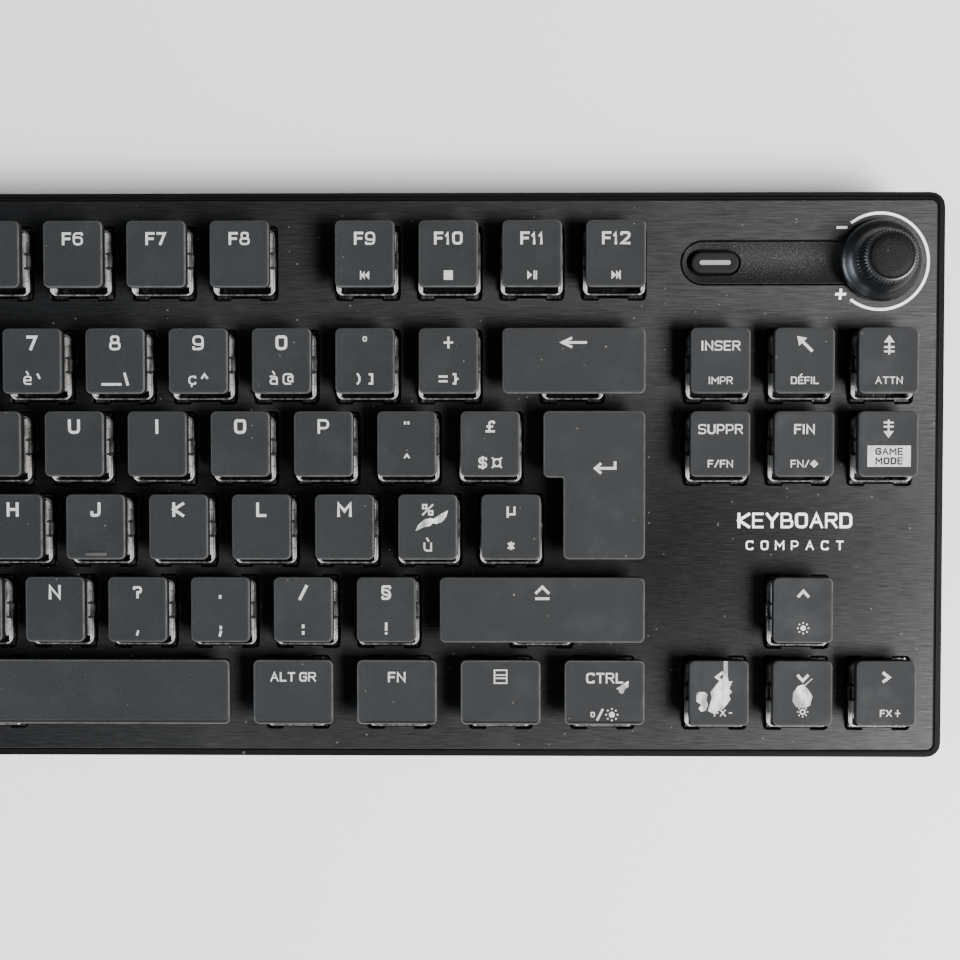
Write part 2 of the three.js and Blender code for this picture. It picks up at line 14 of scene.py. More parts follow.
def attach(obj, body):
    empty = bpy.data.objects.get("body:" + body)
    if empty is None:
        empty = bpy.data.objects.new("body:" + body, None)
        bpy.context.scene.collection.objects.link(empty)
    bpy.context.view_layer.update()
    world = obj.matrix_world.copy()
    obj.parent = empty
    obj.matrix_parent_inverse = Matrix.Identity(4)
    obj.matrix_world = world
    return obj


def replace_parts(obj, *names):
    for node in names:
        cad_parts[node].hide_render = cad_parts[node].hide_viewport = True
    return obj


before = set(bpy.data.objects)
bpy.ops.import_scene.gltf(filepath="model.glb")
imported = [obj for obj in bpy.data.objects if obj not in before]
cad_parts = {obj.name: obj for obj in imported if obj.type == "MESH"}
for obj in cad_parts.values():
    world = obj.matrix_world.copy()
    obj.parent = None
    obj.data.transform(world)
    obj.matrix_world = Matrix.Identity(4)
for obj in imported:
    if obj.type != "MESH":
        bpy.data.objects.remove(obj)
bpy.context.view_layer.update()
link = bpy.context.scene.collection.objects.link

PITCH = 19.05
KEY_BLOCK = 18.25
TILT = math.radians(4)
CASE_FRONT, CASE_REAR, CASE_HALF = -15.6, 116.35, 179.3
DECK_Y = -(CASE_FRONT + CASE_REAR) / 2 * math.cos(TILT)
DECK_Z = 14 - CASE_FRONT * math.sin(TILT)
ROW_Y = (100.3, 76.2, 57.15, 38.1, 19.05, 0)
CAP_SHIFT = 1
CAP_MARGIN = 5.5
CAP_SETBACK = (0.1, 0.3, 0.2, 0.15, 0.1, 0.1)
CAP_TOP = 9
KNOB = (164.15, 100.2)
BUTTON = (125.9, 99.9)
INLAY_LEFT, INLAY_RIGHT, INLAY_HALF = 118.3, 168.6, 4.85


def deck(points):
    """Deck millimetres to metres: turned by the plate's tilt about x, then moved onto the case."""
    p = np.asarray(points, float).reshape(-1, 3)
    c, s = math.cos(TILT), math.sin(TILT)
    y = DECK_Y + p[:, 1] * c - p[:, 2] * s
    z = DECK_Z + p[:, 1] * s + p[:, 2] * c
    return np.stack([p[:, 0], y, z], 1) / 1000


# --- shader helpers


def operator(operation, swapped=False):
    """A method for Value that adds one Math node."""

    def apply(self, other):
        pair = (other, self) if swapped else (self, other)
        return self.finish.node("ShaderNodeMath", {"operation": operation}, *pair)

    return apply


class Value:
    """A number on its way through a material: Python's operators add Math nodes."""

    def __init__(self, finish, socket):
        self.finish = finish
        self.socket = socket

    __add__ = operator("ADD")
    __radd__ = operator("ADD", True)
    __sub__ = operator("SUBTRACT")
    __rsub__ = operator("SUBTRACT", True)
    __mul__ = operator("MULTIPLY")
    under = operator("LESS_THAN")
    most = operator("MAXIMUM")


class Finish:
    """A material with one Principled shader, and a method that adds any other node."""

    def __init__(self, name, **constants):
        self.material = bpy.data.materials.new(name)
        self.material.use_nodes = True
        self.tree = self.material.node_tree
        self.shader = self.tree.nodes["Principled BSDF"]
        for key, value in constants.items():
            self.shader.inputs[key.replace("_", " ")].default_value = value
        self.coordinates = self.node("ShaderNodeTexCoord", out="Object")

    def node(self, kind, settings=None, *inputs, out=0, **named):
        """Adds a node: its settings first, then values or links for its sockets by place or name."""
        made = self.tree.nodes.new(kind)
        for key, value in (settings or {}).items():
            setattr(made, key, value)
        pairs = [*enumerate(inputs), *((k.replace("_", " "), v) for k, v in named.items())]
        for key, value in pairs:
            if isinstance(value, Value):
                self.tree.links.new(value.socket, made.inputs[key])
            elif value is not None:
                made.inputs[key].default_value = value
        return Value(self, made.outputs[out])

    def noise(self, scale, detail=3, rough=0.5):
        """Noise at one scale, or at a scale for each axis for a pattern longer one way."""
        at = self.coordinates
        if isinstance(scale, tuple):
            at, scale = self.node("ShaderNodeMapping", None, Vector=at, Scale=scale), 1
        sockets = {"Scale": scale, "Detail": detail, "Roughness": rough}
        return self.node("ShaderNodeTexNoise", None, Vector=at, **sockets)

    def cells(self, scale, feature="F1", at=None, out="Distance"):
        at = at or self.coordinates
        return self.node("ShaderNodeTexVoronoi", {"feature": feature}, Vector=at, Scale=scale, out=out)

    def step(self, value, low, high, start=0, end=1):
        """A smooth ramp: start below low, end above high."""
        settings = {"interpolation_type": "SMOOTHSTEP"}
        return self.node("ShaderNodeMapRange", settings, value, low, high, start, end)

    def mix(self, factor, first, second):
        """Colour first where the factor is 0 and second where it is 1; sockets 1 to 5 hold no colour."""
        return self.node("ShaderNodeMix", {"data_type": "RGBA"}, factor, *[None] * 5, first, second, out=2)

    def attribute(self, name):
        return self.node("ShaderNodeAttribute", {"attribute_name": name}, out="Fac")

    def set(self, socket, value):
        self.tree.links.new(value.socket, self.shader.inputs[socket])

    def done(self, base, rough, height=None, strength=0, distance=0):
        """Joins colour and roughness to the shader, and a bump from a height; distance is in metres."""
        self.set("Base Color", base)
        self.set("Roughness", rough)
        if height:
            sockets = {"Strength": strength, "Distance": distance, "Height": height}
            self.set("Normal", self.node("ShaderNodeBump", None, **sockets))
        return self.material


def grey(level, warm=0):
    return (level * (1 + warm), level, level * (1 - warm), 1)


def dust(finish, scale, size, share, seed=0):
    """Sparse specks: cell centres closer than size, in the given share of the cells."""
    place = (seed, seed * 0.7, 0)
    at = finish.node("ShaderNodeMapping", None, Vector=finish.coordinates, Location=place)
    colour = finish.cells(scale, at=at, out="Color")
    chosen = finish.node("ShaderNodeSeparateColor", None, colour).under(share)
    return finish.cells(scale, at=at).under(size) * chosen


def keycap_finish():
    """Satin charcoal with fine mottling, greasy smudges and dust, lighter edges that are partly wear and
    partly painted highlight, and painted shade on the sides, underside and scooped front bands.
    """
    f = Finish("keycap_plastic", Specular_IOR_Level=0.13)
    tone = f.attribute("tone")
    smudge = f.step(f.noise(95, 4, rough=0.62), 0.47, 0.72)
    fine = f.noise(2600, 2)
    cloud = f.noise(22, 2)
    base = f.mix(cloud, grey(0.0125, -0.08), grey(0.0185, -0.08))
    base = f.mix(smudge * 0.35, base, grey(0.03, -0.07))
    base = f.mix(f.step(fine, 0.35, 0.75) * 0.12, base, grey(0.05))
    # Lighter bevel edges: partly wear, partly a painted highlight that is stronger on the front and right
    # edges.
    worn = f.attribute("worn") * f.step(f.noise(420, 3), 0.3, 0.62, 0.55, 1)
    base = f.mix(worn * 0.8, base, grey(0.11))
    # Painted shade: darkens the cap's sides, its underside and the scooped front band.
    base = f.mix(f.attribute("shade") * 0.85, base, grey(0.0015))
    base = f.mix(tone * 0.3, base, grey(0.02, -0.08))
    specks = dust(f, 620, 0.13, 0.05).most(dust(f, 240, 0.06, 0.06, 3.1) * 1.6)
    base = f.mix(specks * 0.45, base, grey(0.14))
    return f.done(base, 0.6 - smudge * 0.12 + f.step(fine, 0.3, 0.7) * 0.08, fine, 0.12, 0.00008)


def print_finish():
    """Legend ink: light grey with faint rubbing."""
    f = Finish("legend_print", Specular_IOR_Level=0.4)
    rubbed = f.step(f.noise(700, 3), 0.35, 0.7)
    return f.done(f.mix(rubbed * 0.4, grey(0.42, -0.015), grey(0.24, -0.015)), 0.42 + rubbed * 0.2)


def worn_finish():
    """Bare pale plastic where the dark coat has rubbed away."""
    f = Finish("bare_patch", Specular_IOR_Level=0.5)
    thin = f.step(f.noise((420, 170, 200), 3), 0.36, 0.64)
    return f.done(f.mix(thin, grey(0.16, -0.04), grey(0.6, -0.02)), 0.3 + f.noise(1200, 2) * 0.25)


def plate_finish():
    """Black anodised aluminium, brushed along x: thin streaks in tone, roughness and height."""
    f = Finish("brushed_plate", Metallic=0.85, Anisotropic=0.6)
    streak = f.noise((190, 6800, 60), 3, rough=0.7)
    fine = f.noise((300, 9500, 60), 2, rough=0.6)
    broad = f.noise((9, 520, 9), 2)
    cloud = f.noise(30, 3)
    base = f.mix(f.step(streak, 0.3, 0.75), grey(0.006, -0.06), grey(0.033, -0.03))
    base = f.mix(broad * 0.5, base, grey(0.022, -0.03))
    haze = f.step(cloud, 0.5, 0.8)
    base = f.mix(haze * 0.1, base, grey(0.04))
    specks = dust(f, 560, 0.12, 0.12).most(dust(f, 200, 0.045, 0.09, 5.3))
    base = f.mix(specks * 0.4, base, grey(0.14))
    f.set("Metallic", 0.85 - specks * 0.6)
    rough = 0.31 + fine * 0.12 + haze * 0.1 + specks * 0.3
    return f.done(base, rough, fine + streak * 0.8, 0.22, 0.00006)


def case_finish(name="case_plastic", level=0.002):
    """Fine spark-eroded black plastic with handling marks."""
    f = Finish(name, Specular_IOR_Level=0.09)
    grain = f.cells(2300)
    patch = f.noise(60, 4)
    base = f.mix(patch, grey(level * 0.8, -0.04), grey(level * 1.5, -0.04))
    base = f.mix(dust(f, 260, 0.1, 0.1) * 0.4, base, grey(0.1))
    return f.done(base, 0.5 + patch * 0.14, grain, 0.25, 0.00007)


def grain_finish(name, level, scale, strength, gloss=0.3):
    """Leather-like grain: rounded cells parted by fine creases, the creases painted darker as shade."""
    f = Finish(name, Specular_IOR_Level=gloss)
    ridge = f.step(f.cells(scale, "DISTANCE_TO_EDGE"), 0.02, 0.24)
    small = f.noise(scale * 1.7, 2)
    # Painted shade: darker creases, lighter cells.
    base = f.mix(ridge, grey(level * 0.7), grey(level * 1.2, -0.03))
    base = f.mix(dust(f, 620, 0.12, 0.06, 1.7) * 0.35, base, grey(0.12))
    return f.done(base, 0.58 - ridge * 0.12, ridge + small * 0.35, strength, 0.00016)


def clear_finish():
    """Clear moulded plastic: cloudy grey behind, bright with painted light towards each housing's front and
    sides, dusty on its ledges.
    """
    f = Finish("clear_housing", Transmission_Weight=0.12, IOR=1.49, Specular_IOR_Level=0.9)
    flow = f.noise((1900, 420, 300), 2)
    patch = f.noise((900, 330, 200), 3)
    # Painted light: the mask from each housing lifts the colour to a bright grey.
    bright = f.step(f.attribute("glow") + (patch - 0.5) * 0.6, 0.1, 1)
    base = f.mix(bright, grey(0.004, -0.02), grey(0.5, 0.02))
    base = f.mix(f.step(flow, 0.5, 0.7) * 0.35, base, grey(0.05))
    return f.done(base, 0.12 + f.noise(700, 2) * 0.15, flow, 0.35, 0.00012)


def plain_finish(name, dark, light, rough, scale=500, metallic=0, bump=0.1):
    """Two close tones mottled by noise, with a fine bump."""
    f = Finish(name, Metallic=metallic)
    mottle = f.noise(scale, 3)
    return f.done(f.mix(mottle, dark, light), rough + mottle * 0.12, mottle, bump, 0.00008)


def desk_finish():
    """Pale desk: a soft off-white with a barely visible mottle."""
    f = Finish("desk_top", Specular_IOR_Level=0.3)
    base = f.mix(f.noise(14, 3), grey(0.8, 0.008), grey(0.83, 0.008))
    return f.done(base, 0.5 + f.noise(60, 2) * 0.1)


# --- mesh helpers


def lifted(flat, z):
    """Flat points given a height: one number, or one for each point."""
    return np.column_stack([flat, np.broadcast_to(z, len(flat))])


def around(angles):
    """Unit steps from the origin at each angle."""
    return np.stack([np.cos(angles), np.sin(angles)], 1)


def ring(half_x, half_y, radius, z, middle=(0, 0), corner=4, side=3):
    """A rounded rectangle: quarter circles of corner steps joined by sides of side inner points."""
    radius = min(radius, half_x, half_y)
    turn = np.radians(np.linspace(0, 90, corner + 1))
    arcs = []
    for sx, sy, start in ((1, -1, -90), (1, 1, 0), (-1, 1, 90), (-1, -1, 180)):
        centre = np.array([sx * (half_x - radius), sy * (half_y - radius)])
        arcs.append(centre + radius * around(turn + math.radians(start)))
    t = np.linspace(0, 1, side + 2)[1:-1, None]
    rows = []
    for arc, ahead in zip(arcs, arcs[1:] + arcs[:1]):
        rows += [arc, arc[-1] + (ahead[0] - arc[-1]) * t]
    return lifted(np.concatenate(rows) + middle, z)


def rings_at(rows, middle, corner=2, side=0):
    """Rounded rectangles round one middle, a row of half width, half depth, radius and height each."""
    return [ring(a, b, radius, z, middle, corner, side) for a, b, radius, z in rows]


def circle(radius, z, middle=(0, 0), steps=48):
    return lifted(middle + radius * around(np.linspace(0, 2 * math.pi, steps, endpoint=False)), z)


class Shape:
    """Points and faces gathered piece by piece, each face with its material number."""

    def __init__(self):
        self.points = []
        self.faces = []
        self.slots = []
        self.layers = {}
        self.count = 0

    def add(self, points, faces, slot=0, **layers):
        points = np.asarray(points, float).reshape(-1, 3)
        self.points.append(points)
        self.faces += [[int(i) + self.count for i in face] for face in faces]
        self.slots += [slot] * len(faces)
        for name in {*self.layers, *layers}:
            past = self.layers.setdefault(name, [np.zeros(self.count)])
            past.append(np.broadcast_to(layers.get(name, 0), len(points)).astype(float))
        self.count += len(points)

    def loft(self, rings, slot=0, first=True, last=True, closed=False, **layers):
        """Walls between rings of equal length, with the ends filled; closed joins last to first."""
        n = len(rings[0])
        i = np.arange(n)
        j = (i + 1) % n
        faces = []
        spans = len(rings) if closed else len(rings) - 1
        for k in range(spans):
            a, b = k * n, ((k + 1) % len(rings)) * n
            faces += np.stack([a + i, a + j, b + j, b + i], 1).tolist()
        if first and not closed:
            faces.append(list(range(n))[::-1])
        if last and not closed:
            faces.append([(len(rings) - 1) * n + k for k in range(n)])
        self.add(np.concatenate(rings), faces, slot, **layers)

    def block(self, x0, x1, y0, y1, z0, z1, slot=0, bevel=0.12, **layers):
        """A box with bevelled edges; x0 and x1, or y0 and y1, may come either way round."""
        mid = ((x0 + x1) / 2, (y0 + y1) / 2)
        hx, hy = abs(x1 - x0) / 2, abs(y1 - y0) / 2
        b = min(bevel, hx * 0.45, hy * 0.45, (z1 - z0) * 0.45)
        steps = ((b, z0), (0, z0 + b), (0, z1 - b), (b, z1))
        rings = [ring(hx - k, hy - k, max(b - k, b * 0.3), z, mid, 1, 0) for k, z in steps]
        self.loft(rings, slot, **layers)

    def build(self, name, materials, place=deck, sharp=34):
        mesh = bpy.data.meshes.new(name)
        mesh.from_pydata(place(np.concatenate(self.points)).tolist(), [], self.faces)
        for material in materials:
            mesh.materials.append(material)
        mesh.polygons.foreach_set("material_index", self.slots)
        mesh.polygons.foreach_set("use_smooth", [True] * len(self.faces))
        for key, parts in self.layers.items():
            layer = mesh.attributes.new(key, "FLOAT", "POINT")
            layer.data.foreach_set("value", np.concatenate(parts))
        mesh.update()
        mesh.set_sharp_from_angle(angle=math.radians(sharp))
        piece = bpy.data.objects.new(name, mesh)
        link(piece)
        return piece


def within(points, loop):
    """For each point, whether it is inside a closed loop, by counting crossed edges."""
    a, b = loop, np.roll(loop, -1, 0)
    x, y = points[:, 0, None], points[:, 1, None]
    spans = (a[:, 1] > y) != (b[:, 1] > y)
    rise = np.where(b[:, 1] == a[:, 1], 1, b[:, 1] - a[:, 1])
    crossing = a[:, 0] + (y - a[:, 1]) * (b[:, 0] - a[:, 0]) / rise
    return (spans & (x < crossing)).sum(1) % 2 == 1


def triangulated(points, edges, faces, near, inside):
    """Flat points and the upward triangles between them whose middles lie inside."""
    made = delaunay_2d_cdt(points, edges, faces, 1, near)
    flat = np.array([tuple(v) for v in made[0]])
    triangles = np.array([list(f) for f in made[2]])
    triangles = triangles[inside(flat[triangles].mean(1))]
    a, b, c = (flat[triangles[:, k]] for k in range(3))
    down = (b - a)[:, 0] * (c - a)[:, 1] - (b - a)[:, 1] * (c - a)[:, 0] <= 0
    triangles[down] = triangles[down][:, ::-1]
    return flat, triangles


def fill(loops, spacing=0):
    """Triangles facing up between closed 2D loops, the first outside and the rest holes.

    A spacing above zero adds a grid of inner points that far apart.
    """
    points, edges = [], []
    for loop in loops:
        start = len(points)
        n = len(loop)
        points += [Vector(p) for p in loop]
        edges += [(start + i, start + (i + 1) % n) for i in range(n)]
    if spacing:
        low, high = loops[0].min(0), loops[0].max(0)
        x, y = np.meshgrid(np.arange(low[0], high[0], spacing), np.arange(low[1], high[1], spacing))
        points += [Vector(p) for p in np.stack([x.ravel(), y.ravel()], 1)]

    def inside(spots):
        first, *holes = [within(spots, loop) for loop in loops]
        return first & ~np.any([np.zeros_like(first), *holes], axis=0)

    return triangulated(points, edges, [], 1e-5, inside)


def grow(loop, amount):
    """A loop moved outwards along its corner normals by amount."""
    a, b = loop - np.roll(loop, 1, 0), np.roll(loop, -1, 0) - loop
    a /= np.linalg.norm(a, axis=1)[:, None]
    b /= np.linalg.norm(b, axis=1)[:, None]
    n = np.stack([a[:, 1] + b[:, 1], -a[:, 0] - b[:, 0]], 1)
    n /= (1 + (a * b).sum(1))[:, None]
    return loop + n * amount


def sheet_with_holes(outer, holes, top, bottom, bevel, sink=None):
    """A sheet with cut-outs, its upper edges chamfered by bevel; sink lowers its top over x and y."""
    shape = Shape()
    loops = [outer, *holes]
    small = [grow(loop, bevel if k else -bevel) for k, loop in enumerate(loops)]
    drop = sink or (lambda flat: 0)
    points, faces = fill(small, 0.9 if sink else 0)
    shape.add(lifted(points, top - drop(points)), faces)
    points, faces = fill(loops)
    shape.add(lifted(points, bottom), faces[:, ::-1])
    for k, (wide, narrow) in enumerate(zip(loops, small)):
        rings = [lifted(wide, bottom), lifted(wide, top - bevel), lifted(narrow, top - drop(narrow))]
        shape.loft([r[::-1] for r in rings] if k else rings, first=False, last=False)
    return shape


# --- lettering

# Each line: a glyph, width over height, then strokes on an 8 by 8 grid. Two characters give a point,
# with A to F for 10 to 15 and y, z for -2, -1; an o after them rounds that corner.
GLYPH_LINES = r"""
A .86 00 48 80;23 63
B .8 00 08 78o 74o 04;54 84o 80o 00
C .8 81 80o 00o 08o 88o 87
D .82 00 08 88o 80o 00
E .74 80 00 08 88;04 74
F .72 00 08 88;04 74
G .82 87 88o 08o 00o 80o 84 54
H .82 00 08;80 88;04 84
I .22 00 08
J .7 88 80o 00o 02
K .82 00 08;88 04 80
L .7 08 00 80
M 1 00 08 43 88 80
N .84 00 08 80 88
O .82 48 88o 80o 00o 08o 48
P .78 00 08 88o 83o 03
Q .82 48 88o 80o 00o 08o 48;52 8z
R .8 00 08 88o 84o 04;44 80
S .8 87 88o 08o 04o 84o 80o 00o 01
T .78 08 88;48 40
U .82 08 00o 80o 88
V .86 08 40 88
W 1.1 08 20 46 60 88
X .84 00 88;08 80
Y .84 08 44 88;44 40
Z .78 08 88 00 80
0 .8 48 88o 80o 00o 08o 48
1 .42 06 48 40
2 .78 07 08o 88o 85o 00 80
3 .76 07 08o 88o 84o 24;54 84o 80o 00o 01
4 .82 60 68 02 82
5 .78 88 08 05 85o 80o 00o 01
6 .78 87 88o 08o 00o 80o 85o 05
7 .74 08 88 30
8 .78 48 78o 74o 14o 18o 48;44 84o 80o 00o 04o 44
9 .78 01 00o 80o 88o 08o 03o 83
e .72 03 83 86o 06o 00o 80
c .68 85 86o 06o 00o 80o 81
a .72 06 86o 80 00o 04o 84
u .74 06 00o 80 86
( .34 88 06o 02o 80
) .34 08 86o 82o 00
[ .4 88 08 00 80
] .4 08 88 80 00
{ .5 88 48 45 04 43 40 80
} .5 08 48 45 84 43 40 00
| .22 09 0z
\ .42 08 80
/ .6 00 88
# .86 20 28;60 68;03 83;06 86
~ .8 03 15o 35 53 73o 85
` .4 18 75
^ .62 05 48 85
¨ .6 18 17;78 77
- .5 04 84
_ 1.55 00 80
+ .8 04 84;40 48
= .8 02 82;06 86
* .8 41 47;12 76;16 72
. .22 00 01
, .3 61 0y
; .3 64 65;61 0y
: .22 00 01;05 06
! .22 08 03;00 00
? .74 07 08o 88o 84o 44 42;40 40
% 1 05 08 38 35 05;53 83 80 50 53;00 88
< .7 87 04 81
> .7 07 84 01
$ .8 87 88o 08o 04o 84o 80o 00o 01;4z 49
£ .8 87 88o 38o 30;00 80;14 64
& .86 80 15 28o 58o 55 01o 00o 50 83
" .5 08 05;88 85
' .22 08 05
² .44 08 88 86 04 84
§ .66 87 88o 08o 06o 85o 80o 00o 01;06 03o 82
@ .95 60 00o 08o 88o 82 42o 46o 86
µ .78 0y 06;00 80;80 86
¤ .95 11 71 77 17 11;00 22;08 26;80 62;88 66
€ .85 87 88o 18o 10o 80o 81;05 55;03 53
  .16
"""
# Each line: an accented letter, the letter it is made from, and the added stroke.
ACCENT_LINES = """
é e 38 5A
è e 58 3A
à a 58 3A
ù u 58 3A
É E 3A 6C
ç c 40 3y
"""
# Each line: a sign, width over height, strokes, then filled outlines after a slash.
SIGN_LINES = """
back 1.9 14 84;37 04 31
enter 1.6 88 84 04;27 04 21
rewind 1.05 00 08/14 48 40|44 88 80
next 1.05 80 88/08 44 00|48 84 40
stop .95 /00 80 88 08
play 1.1 60 68;80 88/08 44 00
home 1 35 80/08 57 13
up_page .55 40 45;01 81;03 83/05 48 85
down_page .55 48 43;07 87;05 85/03 40 83
shift 1 04 48 84;00 80
lock 1 20 24;60 64;20 60/04 48 84
tab 1.9 36 86;02 52/35 06 37|53 82 51
menu .95 00 08 88 80 00;05 85;03 83
up 1.1 02 47 82
down 1.1 06 41 86
left .75 88 04 80
right .75 08 84 00
system 1 40 04 48 84 40/42 24 46 64
"""
GLYPHS, SIGNS = {}, {}
for line in GLYPH_LINES.strip("\n").split("\n"):
    width, _, strokes = line[2:].partition(" ")
    GLYPHS[line[0]] = (float(width), strokes, "")
for line in ACCENT_LINES.split("\n")[1:-1]:
    width, strokes, _ = GLYPHS[line[2]]
    GLYPHS[line[0]] = (width, strokes + ";" + line[4:], "")
for line in SIGN_LINES.split("\n")[1:-1]:
    name, width, marks = line.split(" ", 2)
    SIGNS[name] = (float(width), *marks.partition("/")[::2])
GRID = {c: i for i, c in enumerate("0123456789ABCDEF")} | {"y": -2, "z": -1}


def stroke_points(token_line, width, height, weight):
    """Grid tokens to points, with marked corners turned into short arcs of three points."""
    raw = []
    for token in token_line.split():
        x = weight / 2 + GRID[token[0]] / 8 * (width - weight)
        y = weight / 2 + GRID[token[1]] / 8 * (height - weight)
        raw.append((np.array([x, y]), token.endswith("o")))
    out = []
    for i, (p, soft) in enumerate(raw):
        if not soft or i in (0, len(raw) - 1):
            out.append(p)
            continue
        a, b = raw[i - 1][0] - p, raw[i + 1][0] - p
        la, lb = np.linalg.norm(a), np.linalg.norm(b)
        cut = min(0.26 * height, la * 0.5, lb * 0.5)
        a, b = a / la * cut, b / lb * cut
        for t in (0, 0.25, 0.5, 0.75, 1):
            out.append((1 - t) ** 2 * (p + a) + 2 * t * (1 - t) * p + t * t * (p + b))
    return out


def ribbon(points, weight):
    """Quads along a line, mitred at its bends and square at its ends."""
    p = [points[0]] + [q for a, q in zip(points, points[1:]) if np.linalg.norm(q - a) > 1e-4]
    if len(p) == 1:
        p = [p[0] - [0, 1e-3], p[0] + [0, 1e-3]]
    p = np.array(p)
    closed = len(p) > 3 and np.linalg.norm(p[0] - p[-1]) < 1e-3
    step = np.diff(p, axis=0)
    step /= np.linalg.norm(step, axis=1)[:, None]
    if not closed:
        p[0] -= step[0] * weight * 0.46
        p[-1] += step[-1] * weight * 0.46
    before = np.vstack([step[-1:] if closed else step[:1], step])
    after = np.vstack([step, step[:1] if closed else step[-1:]])
    normal = np.stack([-(before + after)[:, 1], (before + after)[:, 0]], 1)
    normal /= np.maximum(1 + (before * after).sum(1), 0.35)[:, None]
    left, right = p + normal * weight / 2, p - normal * weight / 2
    return [np.array([left[i], right[i], right[i + 1], left[i + 1]]) for i in range(len(p) - 1)]


def glyph_polygons(spec, height, weight):
    share, strokes, outlines = spec
    width = share * height
    polygons = []
    for line in filter(None, strokes.split(";")):
        polygons += ribbon(stroke_points(line, width, height, weight), weight)
    for outline in filter(None, outlines.split("|")):
        polygons.append(np.array(stroke_points(outline, width, height, 0)))
    return polygons, width


def sun(height, hollow):
    """A disc or ring with eight dots around it."""
    unit = around(np.linspace(0, 2 * math.pi, 13)[:-1])
    middle = np.array([height / 2, height / 2])
    if hollow:
        out = ribbon(list(middle + np.vstack([unit, unit[:1]]) * height * 0.2), height * 0.13)
    else:
        out = [middle + unit * height * 0.22]
    for spot in around(np.arange(8) * math.pi / 4):
        out.append(middle + spot * height * 0.42 + unit[::2] * height * 0.075)
    return out, height


DENSE = set("689@%§¤éèàçùRPBSEA&")
SIGN_WEIGHT = {"up_page": 0.1, "down_page": 0.1, "menu": 0.1, "up": 0.26, "down": 0.26}
SIGN_WEIGHT |= {"left": 0.26, "right": 0.26}


def lettering(text, height, weight=0.23):
    """Polygons for a line of text centred on the origin; {name} calls a sign; DENSE glyphs are thinner."""
    gap = 0.13 * height
    x, polygons = 0, []
    while text:
        if text[0] == "{" and "}" in text:
            name, text = text[1:].split("}", 1)
            if name in ("sun", "ring_sun"):
                shapes, width = sun(height * 1.15, name == "ring_sun")
                shapes = [s - [0, height * 0.075] for s in shapes]
            elif name == "ring":
                small = 0.46 * height
                shapes, width = glyph_polygons(GLYPHS["0"], small, 0.105 * height)
                shapes = [s + [0, (height - small) / 2] for s in shapes]
            else:
                thick = SIGN_WEIGHT.get(name, weight * 0.95)
                shapes, width = glyph_polygons(SIGNS[name], height, thick * height)
        else:
            thin = 0.8 if text[0] in DENSE else 1
            spec, text = GLYPHS[text[0]], text[1:]
            shapes, width = glyph_polygons(spec, height, thin * weight * height)
        polygons += [s + [x, 0] for s in shapes]
        x += width + gap
    shift = np.array([(x - gap) / 2, height / 2])
    return [s - shift for s in polygons]


def merged(polygons):
    """Overlapping polygons joined into one flat patch of triangles, with inner points on wide parts."""
    points, faces = [], []
    for polygon in polygons:
        ahead = np.roll(polygon, -1, 0)
        area = np.sum(polygon[:, 0] * ahead[:, 1] - polygon[:, 1] * ahead[:, 0])
        ordered = polygon if area > 0 else polygon[::-1]
        faces.append(list(range(len(points), len(points) + len(ordered))))
        points += [Vector(p) for p in ordered]
        size = np.ptp(polygon, axis=0)
        if min(size) > 1.6:
            low = polygon.min(0)
            x, y = np.meshgrid(*(np.arange(0.4, side, 0.8) for side in size), indexing="ij")
            grid = low + np.stack([x.ravel(), y.ravel()], 1)
            points += [Vector(p) for p in grid[within(grid, polygon)]]

    def inside(spots):
        return np.any([within(spots, polygon) for polygon in polygons], axis=0)

    flat, triangles = triangulated(points, [], faces, 1e-4, inside)
    used, again = np.unique(triangles, return_inverse=True)
    return flat[used], again.reshape(-1, 3).tolist()


def add_print(shape, polygons, middle, surface, slot, lift=0.02):
    """Lays merged polygons on a surface, one height or a height over x and y, with a low edge."""
    points, faces = merged([p + middle for p in polygons])
    height = surface(points[:, 0], points[:, 1]) if callable(surface) else surface
    top = lifted(points, height + lift)
    low = top - [0, 0, lift + 0.05]
    edges = {(a, b) for face in faces for a, b in zip(face, face[1:] + face[:1])}
    n = len(points)
    sides = [[a, a + n, b + n, b] for a, b in sorted(edges) if (b, a) not in edges]
    shape.add(np.concatenate([top, low]), faces + sides, slot)


# --- keys


def edge_x(u):
    return (u - KEY_BLOCK / 2) * PITCH


def legends(row, text):
    """Reads 'top|bottom' with the row's usual sizes; 'text@@height@@share@@offset' overrides them.

    The share is that of the cap's depth from its rear edge; the offset along x is in millimetres.
    """
    usual = {
        0: ((2.95, 0.27), (2, 0.82)),
        1: ((3.35, 0.225), (2.6, 0.775)),
        5: ((2.3, 0.26), (1.7, 0.82)),
    }.get(row, ((3.35, 0.235), (2.5, 0.785)))
    out = []
    for part, (height, share) in zip(text.split("|", 1), usual):
        if not part:
            continue
        bits = part.split("@@")
        numbers = [float(b) for b in bits[1:]]
        out.append((bits[0], *(numbers + [height, share, 0][len(numbers):])))
    return out


def one(name, row, start, width, text):
    return (name, "key_" + name, row, start, width, text)


def spread(row, start, names, bank):
    """Neighbouring one-pitch keys: 'name=legend' in order, or a name alone that is its own legend."""
    parts = [entry.partition("=") for entry in names]
    bank = "keys_" + bank
    return [(name, bank, row, start + i, 1, t or name.upper()) for i, (name, _, t) in enumerate(parts)]


